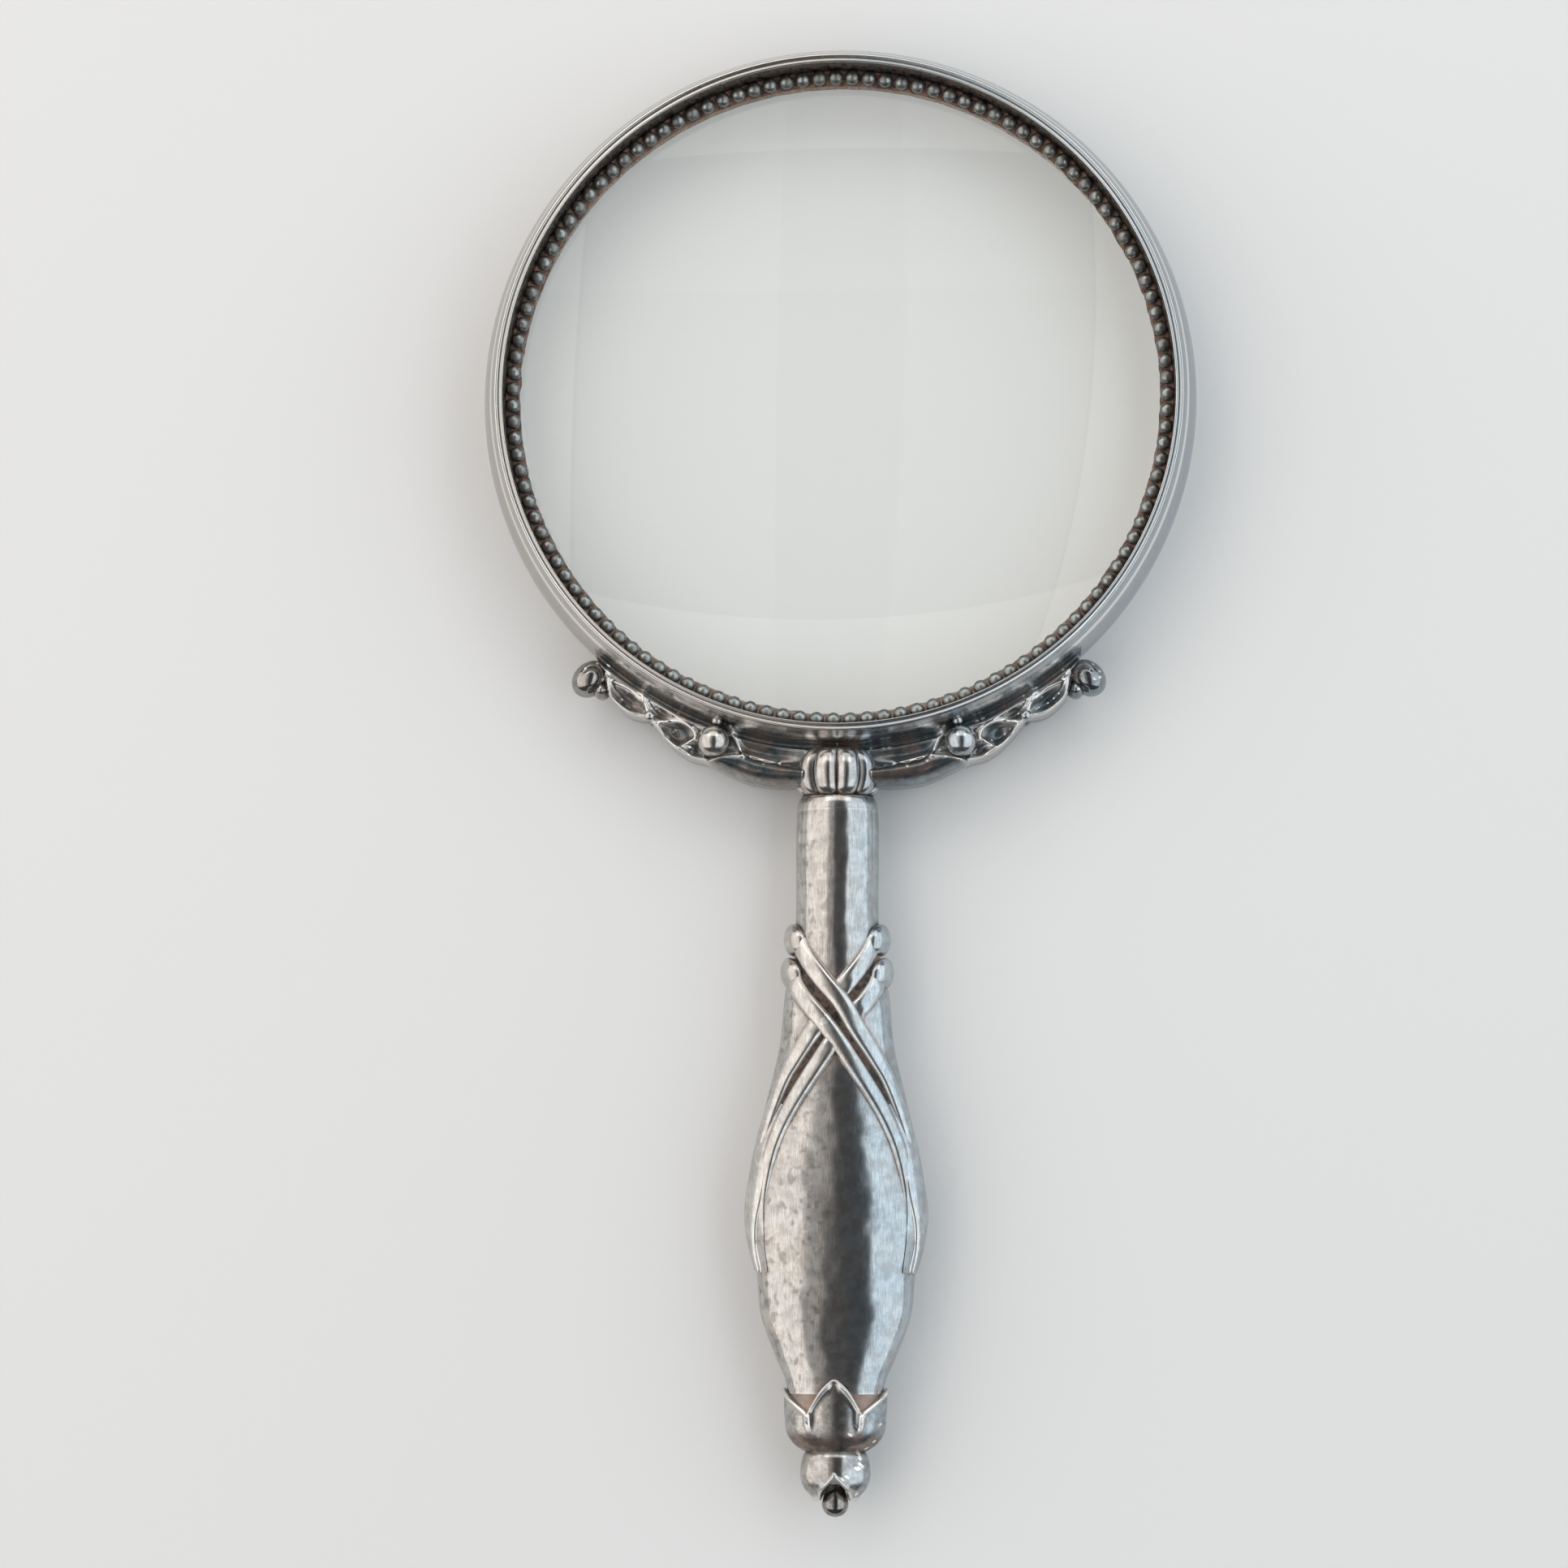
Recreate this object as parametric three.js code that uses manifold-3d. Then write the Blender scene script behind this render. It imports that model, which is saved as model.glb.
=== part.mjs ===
// Silver hand magnifier: a convex lens in a beaded ring, a leaf cradle, a fluted collar and a hollow handle
// with crossed straps, a petal calyx and a bud finial. Millimetres, +Z up, the handle pointing along -Y.
import * as THREE from 'three';
import { mergeVertices } from 'three/addons/utils/BufferGeometryUtils.js';
import Module from 'manifold-3d';

const wasm = await Module();
wasm.setup();

// ---------------------------------------------------------------- driving dimensions
const fitGap = 0.3;              // clearance between two pieces that meet

// Lens and ring
const lensRadius = 45;
const lensEdge = 2;              // glass thickness at the edge
const lensCrown = 3.25;          // rise of each face from edge to centre
const lensDrop = 0.7;            // the lens sits this far behind the ring's middle
const ringHeight = 12;           // front to back, and the handle's greatest thickness
const bandWall = 3.05;           // lens seat to the widest part of the ring
const rimWireHeight = 1.5;       // wires that finish the front and the back
const rimWireInset = 0.1;        // the wires stand back from the lens seat
const rimLandWidth = 0.85;       // flat land on each wire, from its inner edge to its crest
const wallRoundness = 1.75;      // power of the curve that bulges the ring's outer wall
const borderWidth = 1.4;         // beaded border and retaining ring, seat wall to free edge
const borderHeight = 1.8;
const edgeEasing = 0.3;          // free edges of the border, the packing and the retainer
const retainerHeight = 0.9;
const packingHeight = 0.9;
const ringSegments = 60;

// Cradle
const saddleThickness = 1.4;
const saddleDrop = 3.8;          // face of each saddle arm below the crest of the rim
const saddleHalfAngle = 37.6;    // degrees each side of the handle
const leafHeight = 7.6;
const leafBevel = 0.3;
const berryRadius = 1.55;
const berryReach = 1.3;          // centre of each berry out from the widest part of the ring
const berryDrop = 1.8;           // centre of each berry below the crest of the rim
const berryAngle = 19;
const scrollAngle = 41;
const scrollRadii = [2.1, 2.45, 2.5];

// Collar and cap
const collarLength = 6.1;
const collarRadii = [6.1, 5.7];
const collarLobes = 10;
const capLength = 1.2;

// Handle
const neckLength = 15.2;
const knuckleWidth = 4.3;
const knuckleHalfAngle = 24;     // degrees each side of the seam
const knuckleThickness = 1.3;
const knuckleShare = 0.4;        // how far the neck has widened at the middle of the lower knuckles
const bellyRise = 29.8;          // waist to widest point
const shoulderLength = 7.4;      // widest point to the step where the straps end
const tailLength = 14.2;         // step to the end of the shells
const neckHalfWidth = 5.55;
const neckHalfDepth = 4.9;
const waistHalfWidth = 6.85;
const waistHalfDepth = 4.7;
const bellyHalfWidth = 11.85;
const stepHalfWidth = 10.5;
const tailHalfWidth = 6.6;
const tailHalfDepth = 4.7;
const tailFullness = [0.95, 0.45];   // how much the tail swells outside a straight taper
const shellWall = 1;
const strapWidth = 1.7;
const strapThickness = 0.75;
const strapSetback = 10;         // degrees between a knuckle and the strap that leaves it
const outerBorder = 19;          // degrees from the seam where each strap runs along the belly
const innerBorder = 34;

// Finial and the rods inside
const endPlateThickness = 0.6;
const calyxLength = 8;
const budLength = 5.3;
const tipRadii = [1.7, 1.35, 1.7];
const tangRadius = 1.8;
const tangLength = 46;
const rodRadius = 1;
const rodReach = 8;              // how far the finial rod runs up inside the handle

// ---------------------------------------------------------------- sizes that follow
const seatRadius = lensRadius + fitGap;
const ringRadius = seatRadius + bandWall;
const ringHalf = ringHeight / 2;
const wireInnerRadius = seatRadius + rimWireInset;
const crestRadius = wireInnerRadius + rimLandWidth;
const saddleInner = ringRadius + fitGap;
const saddleOuter = saddleInner + saddleThickness;
const saddleHeight = 2 * (ringHalf - saddleDrop);

const collarStart = ringRadius + fitGap;
const collarEnd = collarStart + collarLength;
const capStart = collarEnd + fitGap;
const capEnd = capStart + capLength;
const shellStart = capEnd + fitGap;
const neckEnd = shellStart + neckLength;
const upperKnuckle = neckEnd + knuckleWidth / 2;
const lowerKnuckle = upperKnuckle + knuckleWidth + fitGap;
const bellyStart = lowerKnuckle + knuckleWidth / 2;
const bellyWidest = bellyStart + bellyRise;
const stepAt = bellyWidest + shoulderLength;
const shellEnd = stepAt + tailLength;
const plateStart = shellEnd + fitGap;
const plateEnd = plateStart + endPlateThickness;
const calyxStart = plateEnd + fitGap;
const calyxEnd = calyxStart + calyxLength;
const budStart = calyxEnd + fitGap;
const budEnd = budStart + budLength;
const tipCentre = budEnd + fitGap + tipRadii[1];
const tipEnd = tipCentre + tipRadii[1];

// ---------------------------------------------------------------- materials
const finishes = {
  silver: { color: 0xc9c7c2, metalness: 1, roughness: 0.28 },
  worn_silver: { color: 0xa9a49b, metalness: 1, roughness: 0.35 },
  glass: { color: 0xe8f0ec, metalness: 0, roughness: 0.03 },
  brown_filler: { color: 0x3c2a1c, metalness: 0, roughness: 0.8 },
  cork: { color: 0x8a6a48, metalness: 0, roughness: 0.9 },
  steel: { color: 0x7c7f83, metalness: 1, roughness: 0.4 },
};

const ringGroup = new THREE.Group();
ringGroup.name = 'magnifying_glass';
// The origin is under the middle of the whole length, on the surface that the object lies on.
ringGroup.position.set(0, (tipEnd - ringRadius) / 2, ringHalf);

function addPart(name, geometry, finish) {
  const mesh = new THREE.Mesh(geometry, new THREE.MeshStandardMaterial(finishes[finish]));
  mesh.name = name;
  ringGroup.add(mesh);
  return mesh;
}

// ---------------------------------------------------------------- shape helpers
const radians = THREE.MathUtils.degToRad;

// A smooth curve through [place, value] pairs, in order of place.
function smoothProfile(points) {
  const slopes = points.map((point, i) => {
    const before = points[Math.max(i - 1, 0)];
    const after = points[Math.min(i + 1, points.length - 1)];
    return (after[1] - before[1]) / (after[0] - before[0]);
  });
  return (place) => {
    let i = points.findIndex((point) => point[0] >= place);
    if (i === 0) return points[0][1];
    if (i < 0) return points[points.length - 1][1];
    i -= 1;
    const span = points[i + 1][0] - points[i][0];
    const t = (place - points[i][0]) / span;
    const rise = (3 - 2 * t) * t * t;
    const startPull = t * (1 - t) * (1 - t) * span * slopes[i];
    const endPull = t * t * (1 - t) * span * slopes[i + 1];
    return points[i][1] * (1 - rise) + points[i + 1][1] * rise + startPull - endPull;
  };
}

// Triangles that fill one section, wound the same way as its outline.
function sectionFaces(outline) {
  const direction = Math.sign(THREE.ShapeUtils.area(outline));
  return THREE.ShapeUtils.triangulateShape(outline, []).map(([a, b, c]) => {
    const turn = Math.sign(THREE.ShapeUtils.area([outline[a], outline[b], outline[c]]));
    return turn === direction ? [a, b, c] : [a, c, b];
  });
}

// One closed body from equal loops of points, each joined to the next. With no outline to close the two
// ends with, the last loop joins the first.
function bodyFromLoops(loops, outline = null) {
  const count = loops[0].length;
  const indices = [];
  const joins = outline ? loops.length - 1 : loops.length;
  for (let i = 0; i < joins; i += 1) {
    const next = (i + 1) % loops.length;
    for (let j = 0; j < count; j += 1) {
      const k = (j + 1) % count;
      indices.push(i * count + j, i * count + k, next * count + k);
      indices.push(i * count + j, next * count + k, next * count + j);
    }
  }
  if (outline) {
    const last = (loops.length - 1) * count;
    for (const [a, b, c] of sectionFaces(outline)) {
      indices.push(a, c, b);
      indices.push(last + a, last + b, last + c);
    }
  }
  const positions = loops.flat().flatMap((point) => [point.x, point.y, point.z]);
  return facingOut(positions, indices);
}

function facingOut(positions, indices) {
  const corner = (index) => new THREE.Vector3().fromArray(positions, index * 3);
  let volume = 0;
  for (let i = 0; i < indices.length; i += 3) {
    const crossed = corner(indices[i + 1]).cross(corner(indices[i + 2]));
    volume += corner(indices[i]).dot(crossed);
  }
  const wound = volume < 0 ? [...indices].reverse() : indices;
  const geometry = new THREE.BufferGeometry();
  geometry.setAttribute('position', new THREE.Float32BufferAttribute(positions, 3));
  geometry.setIndex(wound);
  return geometry;
}

// A ring turned about the lens axis from a closed section of [radius, height] pairs.
function turnedRing(section) {
  const points = [...section, section[0]].map(([radius, height]) => new THREE.Vector2(radius, height));
  const turned = new THREE.LatheGeometry(points, ringSegments).rotateX(Math.PI / 2);
  return facingOut(Array.from(turned.attributes.position.array), Array.from(turned.index.array));
}

// An oval loop across the handle at one place along it.
function ovalLoop(place, halfWidth, halfDepth, count) {
  return Array.from({ length: count }, (unused, i) => {
    const angle = (2 * Math.PI * i) / count;
    return new THREE.Vector3(halfWidth * Math.cos(angle), -place, halfDepth * Math.sin(angle));
  });
}

// An oval body along the handle with a round bore right through it.
function boredBody(stations, boreRadius, count = 24) {
  const outside = stations.map(([place, width, depth]) => ovalLoop(place, width, depth, count));
  const first = stations[0][0];
  const last = stations[stations.length - 1][0];
  const bore = [last, first].map((place) => ovalLoop(place, boreRadius, boreRadius, count));
  return bodyFromLoops([...outside, ...bore]);
}

function rodBody(start, end, radius, count) {
  const outline = ovalLoop(0, radius, radius, count).map((point) => new THREE.Vector2(point.x, point.z));
  return bodyFromLoops([start, end].map((place) => ovalLoop(place, radius, radius, count)), outline);
}

function ellipsoid(radii, across, down) {
  return new THREE.SphereGeometry(1, across, down).rotateX(Math.PI / 2).scale(...radii);
}

function toSolid(geometry) {
  const bare = geometry.clone();
  bare.deleteAttribute('normal');
  bare.deleteAttribute('uv');
  const merged = mergeVertices(bare);
  const mesh = new wasm.Mesh({
    numProp: 3,
    vertProperties: new Float32Array(merged.attributes.position.array),
    triVerts: new Uint32Array(merged.index.array),
  });
  return new wasm.Manifold(mesh);
}

function toGeometry(solid) {
  const mesh = solid.getMesh();
  const geometry = new THREE.BufferGeometry();
  geometry.setAttribute('position', new THREE.Float32BufferAttribute(mesh.vertProperties, 3));
  geometry.setIndex(Array.from(mesh.triVerts));
  return geometry;
}

// ---------------------------------------------------------------- lens
const arcSteps = 4;
const faceRadius = (lensRadius ** 2 + lensCrown ** 2) / (2 * lensCrown);

// Height of a lens face above its edge at a distance from the axis.
function faceRise(radius) {
  return Math.sqrt(faceRadius ** 2 - radius ** 2) - (faceRadius - lensCrown);
}

function lensBody() {
  const radii = Array.from({ length: arcSteps + 1 }, (unused, i) => (lensRadius * i) / arcSteps);
  const front = radii.map((radius) => new THREE.Vector2(radius, lensEdge / 2 + faceRise(radius) - lensDrop));
  const back = radii.map((radius) => new THREE.Vector2(radius, -lensEdge / 2 - faceRise(radius) - lensDrop));
  return new THREE.LatheGeometry([...back, ...front.reverse()], ringSegments).rotateX(Math.PI / 2);
}
addPart('lens', lensBody(), 'glass');

// ---------------------------------------------------------------- ring
const lensFront = lensEdge / 2 - lensDrop;
const lensBack = -lensEdge / 2 - lensDrop;
const freeEdge = lensRadius - borderWidth;
const borderBase = lensFront + faceRise(freeEdge) + fitGap;
const borderTop = borderBase + borderHeight;
const packingTop = lensBack - faceRise(freeEdge) - fitGap;
const packingBase = packingTop - packingHeight;
const retainerTop = packingBase - fitGap;
const retainerBase = retainerTop - retainerHeight;
const bandHalf = ringHalf - rimWireHeight - fitGap;
const wireBase = ringHalf - rimWireHeight;

// Radius of the bulging outer wall at a height above or below the ring's middle.
function wallRadius(height) {
  const share = 1 - (Math.abs(height) / ringHalf) ** wallRoundness;
  return crestRadius + (ringRadius - crestRadius) * share;
}

const bandHeights = [-1, -0.6, -0.3, 0, 0.3, 0.6, 1].map((share) => share * bandHalf);
addPart('rim_band', turnedRing([
  [seatRadius, -bandHalf],
  ...bandHeights.map((height) => [wallRadius(height), height]),
  [seatRadius, bandHalf],
]), 'silver');

function rimWire(side) {
  const shoulder = wireBase + rimWireHeight / 2;
  return turnedRing([
    [wireInnerRadius, side * wireBase],
    [wallRadius(wireBase), side * wireBase],
    [wallRadius(shoulder), side * shoulder],
    [crestRadius, side * ringHalf],
    [wireInnerRadius, side * ringHalf],
  ]);
}
addPart('front_rim_wire', rimWire(1), 'silver');
addPart('rear_rim_wire', rimWire(-1), 'silver');

addPart('front_bead_border', turnedRing([
  [freeEdge, borderBase + borderHeight * 0.4],
  [freeEdge + edgeEasing, borderBase],
  [lensRadius, borderBase],
  [lensRadius, borderBase + borderHeight * 0.6],
  [lensRadius - borderWidth / 2, borderTop],
]), 'worn_silver');

addPart('lens_packing', turnedRing([
  [freeEdge + edgeEasing, packingTop],
  [freeEdge + edgeEasing, packingBase],
  [lensRadius, packingBase],
  [lensRadius, packingTop],
]), 'cork');

addPart('rear_retaining_ring', turnedRing([
  [freeEdge, retainerTop],
  [freeEdge + edgeEasing, retainerBase],
  [lensRadius, retainerBase],
  [lensRadius, retainerTop],
]), 'worn_silver');

// ---------------------------------------------------------------- leaf cradle
// A point at a distance from the lens axis and an angle from the handle, on the given side.
function cradlePoint(radius, degrees, side) {
  return new THREE.Vector2(side * radius * Math.sin(radians(degrees)), -radius * Math.cos(radians(degrees)));
}

// A flat piece with its inner edge on an arc about the lens axis and its outer edge through a few points.
function cradlePiece(innerRadius, fromDegrees, toDegrees, outerEdge, height, bevel, side) {
  const inner = [];
  const steps = Math.max(2, Math.ceil((toDegrees - fromDegrees) / 4));
  for (let i = 0; i <= steps; i += 1) {
    const degrees = toDegrees + ((fromDegrees - toDegrees) * i) / steps;
    inner.push(cradlePoint(innerRadius, degrees, side));
  }
  const edgePoints = outerEdge.map(([radius, degrees]) => cradlePoint(radius, degrees, side));
  const edge = new THREE.SplineCurve(edgePoints);
  const outline = [...inner, ...edge.getPoints(outerEdge.length * 2)];
  const depth = height - 2 * bevel;
  const geometry = new THREE.ExtrudeGeometry(new THREE.Shape(outline), {
    depth,
    bevelEnabled: bevel > 0,
    bevelThickness: bevel,
    bevelSize: bevel,
    bevelOffset: -bevel,
    bevelSegments: 1,
  });
  return geometry.translate(0, 0, -depth / 2);
}

const leafInner = saddleOuter + fitGap;
const armStart = THREE.MathUtils.radToDeg(Math.asin((collarRadii[0] + fitGap) / saddleInner));
const leafStart = THREE.MathUtils.radToDeg(Math.asin((collarRadii[0] + fitGap) / leafInner));
// Outer edges as [distance past the ring, degrees] pairs.
const leafEdges = {
  outer_leaf: {
    from: 30.3,
    to: 37.5,
    edge: [[2.9, 30.3], [3.7, 32.5], [3.4, 35.2], [2.5, 37.5]],
  },
  middle_leaf: {
    from: 21.9,
    to: 29.6,
    edge: [[3.1, 21.2], [4.4, 19.6], [5.1, 23], [4.5, 26.5], [2.9, 29.6]],
  },
  inner_leaf: {
    from: leafStart,
    to: 16,
    edge: [[5.6, leafStart], [5.8, 11], [5.3, 15], [4.5, 18.7], [3.2, 16.8]],
  },
};

for (const [sideName, side] of [['left', -1], ['right', 1]]) {
  const armEdge = [];
  for (let i = 0; i <= 4; i += 1) {
    armEdge.push([saddleOuter, armStart + ((saddleHalfAngle - armStart) * i) / 4]);
  }
  const arm = cradlePiece(saddleInner, armStart, saddleHalfAngle, armEdge, saddleHeight, 0, side);
  addPart(`${sideName}_saddle_arm`, arm, 'silver');
  for (const [leafName, leaf] of Object.entries(leafEdges)) {
    const edge = leaf.edge.map(([reach, degrees]) => [ringRadius + reach, degrees]);
    const geometry = cradlePiece(leafInner, leaf.from, leaf.to, edge, leafHeight, leafBevel, side);
    addPart(`${sideName}_${leafName}`, geometry, 'silver');
  }
  const scroll = addPart(`${sideName}_scroll_end`, ellipsoid(scrollRadii, 14, 9), 'silver');
  const scrollPoint = cradlePoint(saddleInner + fitGap + scrollRadii[0], scrollAngle, side);
  scroll.position.set(scrollPoint.x, scrollPoint.y, 0);
  scroll.rotation.z = Math.atan2(scrollPoint.y, scrollPoint.x);
  const berryPoint = cradlePoint(ringRadius + berryReach, berryAngle, side);
  for (const [faceName, face] of [['front', 1], ['rear', -1]]) {
    const ball = ellipsoid([berryRadius, berryRadius, berryRadius], 12, 8);
    const berry = addPart(`${faceName}_${sideName}_berry`, ball, 'silver');
    berry.position.set(berryPoint.x, berryPoint.y, face * (ringHalf - berryDrop));
  }
}

// ---------------------------------------------------------------- collar, cap and tang
const tangBore = tangRadius + fitGap;
const lobePoints = 3;
const grooveReach = 0.92;        // radius of a groove as a share of a lobe's
const collarPoints = collarLobes * lobePoints;
const [collarHalfWidth, collarHalfDepth] = collarRadii;

// One loop of the collar or of its bore. The first point of each lobe lies in a groove; one groove faces the
// front.
function collarLoop(place, halfWidth, halfDepth, groove) {
  return Array.from({ length: collarPoints }, (unused, i) => {
    const angle = (2 * Math.PI * i) / collarPoints + Math.PI / 2;
    const reach = i % lobePoints === 0 ? groove : 1;
    const x = reach * halfWidth * Math.cos(angle);
    return new THREE.Vector3(x, -place, reach * halfDepth * Math.sin(angle));
  });
}

const collarSwell = [[0, 0.8], [0.15, 0.92], [0.5, 1], [0.85, 0.93], [1, 0.82]];
const collarLoops = collarSwell.map(([share, swell]) => {
  const place = collarStart + share * collarLength;
  return collarLoop(place, swell * collarHalfWidth, swell * collarHalfDepth, grooveReach);
});
const collarBore = [collarEnd, collarStart].map((place) => collarLoop(place, tangBore, tangBore, 1));
addPart('collar', bodyFromLoops([...collarLoops, ...collarBore]), 'silver');

addPart('neck_cap', boredBody([
  [capStart, neckHalfWidth * 0.8, neckHalfDepth * 0.8],
  [capStart + capLength * 0.4, neckHalfWidth * 0.92, neckHalfDepth * 0.92],
  [capEnd, neckHalfWidth * 0.97, neckHalfDepth * 0.97],
], tangBore, 20), 'silver');

const tangStart = collarStart + fitGap;
addPart('tang', rodBody(tangStart, tangStart + tangLength, tangRadius, 14), 'steel');

// ---------------------------------------------------------------- handle shells and filler
// Share of the rise from the waist to the belly, smooth at both ends.
function bellyShare(share) {
  return share * share * (3 - 2 * share);
}

const bellyStations = [0.25, 0.5, 0.75, 1].map((share) => {
  return [bellyStart + share * bellyRise, bellyShare(share)];
});

// A value part way from one to the other.
const between = THREE.MathUtils.lerp;
const halfWidthAt = smoothProfile([
  [shellStart, neckHalfWidth * 0.98],
  [shellStart + neckLength / 4, neckHalfWidth],
  [neckEnd, neckHalfWidth],
  [lowerKnuckle, between(neckHalfWidth, waistHalfWidth, knuckleShare)],
  [bellyStart, waistHalfWidth],
  ...bellyStations.map(([place, share]) => [place, between(waistHalfWidth, bellyHalfWidth, share)]),
  [stepAt, stepHalfWidth],
  [stepAt + tailLength * 0.4, between(stepHalfWidth, tailHalfWidth, 0.4) + tailFullness[0]],
  [stepAt + tailLength * 0.8, between(stepHalfWidth, tailHalfWidth, 0.8) + tailFullness[1]],
  [shellEnd, tailHalfWidth],
]);
const halfDepthAt = smoothProfile([
  [shellStart, neckHalfDepth * 0.98],
  [shellStart + neckLength / 4, neckHalfDepth],
  [neckEnd, waistHalfDepth],
  [bellyStart, waistHalfDepth],
  ...bellyStations.map(([place, share]) => [place, between(waistHalfDepth, ringHalf, share)]),
  [stepAt, ringHalf * 0.94],
  [shellEnd, tailHalfDepth],
]);
const shellPlaces = [
  shellStart, shellStart + neckLength * 0.15, shellStart + neckLength * 0.6, neckEnd,
  lowerKnuckle, bellyStart,
  ...Array.from({ length: 8 }, (unused, i) => bellyStart + (bellyRise * (i + 1)) / 8),
  bellyWidest + shoulderLength / 2, stepAt,
  ...Array.from({ length: 4 }, (unused, i) => stepAt + (tailLength * (i + 1)) / 4),
];
const shellArcPoints = 10;

// Half of a hollow oval: the outer arc one way, then the inner arc back.
function shellLoop(place, face) {
  const width = halfWidthAt(place);
  const depth = halfDepthAt(place) - fitGap / 2;
  const loop = [];
  for (let i = 0; i <= 2 * shellArcPoints + 1; i += 1) {
    const inside = i > shellArcPoints;
    const step = inside ? 2 * shellArcPoints + 1 - i : i;
    const angle = (Math.PI * step) / shellArcPoints;
    const wall = inside ? shellWall : 0;
    const x = (width - wall) * Math.cos(angle);
    const z = face * (fitGap / 2 + (depth - wall) * Math.sin(angle));
    loop.push(new THREE.Vector3(x, -place, z));
  }
  return loop;
}

for (const [faceName, face] of [['front', 1], ['back', -1]]) {
  const loops = shellPlaces.map((place) => shellLoop(place, face));
  const outline = loops[0].map((point) => new THREE.Vector2(point.x, point.z));
  addPart(`handle_${faceName}_shell`, bodyFromLoops(loops, outline), 'silver');
}

const fillerInset = shellWall + fitGap;
const fillerPoints = 14;
const fillerEnd = shellEnd - fillerInset;
const fillerStations = [...shellPlaces.filter((place) => place < fillerEnd), fillerEnd];
const fillerLoops = fillerStations.map((place) => {
  return ovalLoop(place, halfWidthAt(place) - fillerInset, halfDepthAt(place) - fillerInset, fillerPoints);
});
const fillerOutline = fillerLoops[0].map((point) => new THREE.Vector2(point.x, point.z));
const tangHole = rodBody(shellStart - 1, tangStart + tangLength + fitGap, tangBore, 14);
const rodStart = shellEnd - rodReach;
const rodHole = rodBody(rodStart - fitGap, fillerEnd + 1, rodRadius + fitGap, 12);
const filler = toSolid(bodyFromLoops(fillerLoops, fillerOutline));
const drilledFiller = filler.subtract(toSolid(tangHole)).subtract(toSolid(rodHole));
addPart('handle_filler', toGeometry(drilledFiller), 'brown_filler');

// ---------------------------------------------------------------- straps and knuckles
// A point on the handle's skin, at an angle round from the right-hand seam.
function skinPoint(place, degrees) {
  const angle = radians(degrees);
  const x = halfWidthAt(place) * Math.cos(angle);
  return new THREE.Vector3(x, -place, halfDepthAt(place) * Math.sin(angle));
}

// The direction straight out of the skin there.
function skinOut(place, degrees) {
  const nudge = 0.5;
  const lengthwise = skinPoint(place - nudge, degrees).sub(skinPoint(place + nudge, degrees));
  const around = skinPoint(place, degrees + nudge).sub(skinPoint(place, degrees - nudge));
  return lengthwise.cross(around).normalize();
}

// A raised strip that follows a route of [place, degrees] over the handle's skin.
function skinStrip(route, width, thickness, steps, from = 0, to = 1) {
  const curve = new THREE.SplineCurve(route.map(([place, degrees]) => new THREE.Vector2(place, degrees)));
  const outline = [[-0.5, 0], [0.5, 0], [0.42, 0.65], [0, 1], [-0.42, 0.65]].map(([across, up]) => {
    return new THREE.Vector2(across * width, up * thickness);
  });
  const loops = [];
  for (let i = 0; i <= steps; i += 1) {
    const t = from + ((to - from) * i) / steps;
    const here = curve.getPoint(t);
    const ahead = curve.getPoint(Math.min(t + 0.001, 1));
    const behind = curve.getPoint(Math.max(t - 0.001, 0));
    const point = skinPoint(here.x, here.y);
    const out = skinOut(here.x, here.y);
    const along = skinPoint(ahead.x, ahead.y).sub(skinPoint(behind.x, behind.y)).normalize();
    const across = new THREE.Vector3().crossVectors(out, along).normalize();
    loops.push(outline.map((corner) => {
      return point.clone().addScaledVector(across, corner.x).addScaledVector(out, corner.y + fitGap);
    }));
  }
  return bodyFromLoops(loops, outline);
}

// The two strap routes on the front, from a left knuckle across to the right border and down to the step.
const strapLift = knuckleHalfAngle + strapSetback;
function strapRoute(start, crossing, border, spread) {
  const run = stepAt - crossing;
  return [
    [start, 180 - strapLift],
    [(start + crossing) / 2, 115],
    [crossing, 92],
    [crossing + run * 0.1, 64],
    [crossing + run * 0.24, spread],
    [crossing + run * 0.43, (spread + border) / 2],
    [crossing + run * 0.7, border],
    [stepAt, border],
  ];
}
const outerRoute = strapRoute(upperKnuckle + 1, lowerKnuckle + 1, outerBorder, 35);
const innerRoute = strapRoute(lowerKnuckle + 0.8, lowerKnuckle + 5.7, innerBorder, 52);
const mirrored = (route) => route.map(([place, degrees]) => [place, 180 - degrees]);

const strapPieces = {
  outer_over_strap: { route: outerRoute, steps: 20, from: 0, to: 1 },
  inner_over_strap: { route: innerRoute, steps: 20, from: 0, to: 1 },
  outer_under_strap_upper: { route: mirrored(outerRoute), steps: 5, from: 0, to: 0.22 },
  inner_under_strap_upper: { route: mirrored(innerRoute), steps: 4, from: 0, to: 0.14 },
  outer_under_strap_lower: { route: mirrored(outerRoute), steps: 16, from: 0.45, to: 1 },
  inner_under_strap_lower: { route: mirrored(innerRoute), steps: 16, from: 0.38, to: 1 },
};
for (const [faceName, turn] of [['front', 0], ['back', Math.PI]]) {
  for (const [strapName, piece] of Object.entries(strapPieces)) {
    const { route, steps, from, to } = piece;
    const geometry = skinStrip(route, strapWidth, strapThickness, steps, from, to);
    addPart(`${faceName}_${strapName}`, geometry.rotateY(turn), 'silver');
  }
}

for (const [sideName, seam] of [['left', 180], ['right', 0]]) {
  for (const [levelName, place] of [['upper', upperKnuckle], ['lower', lowerKnuckle]]) {
    const route = [-1, -0.5, 0, 0.5, 1].map((share) => [place, seam + share * knuckleHalfAngle]);
    const geometry = skinStrip(route, knuckleWidth, knuckleThickness, 6);
    addPart(`${sideName}_${levelName}_knuckle`, geometry, 'silver');
  }
}

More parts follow.
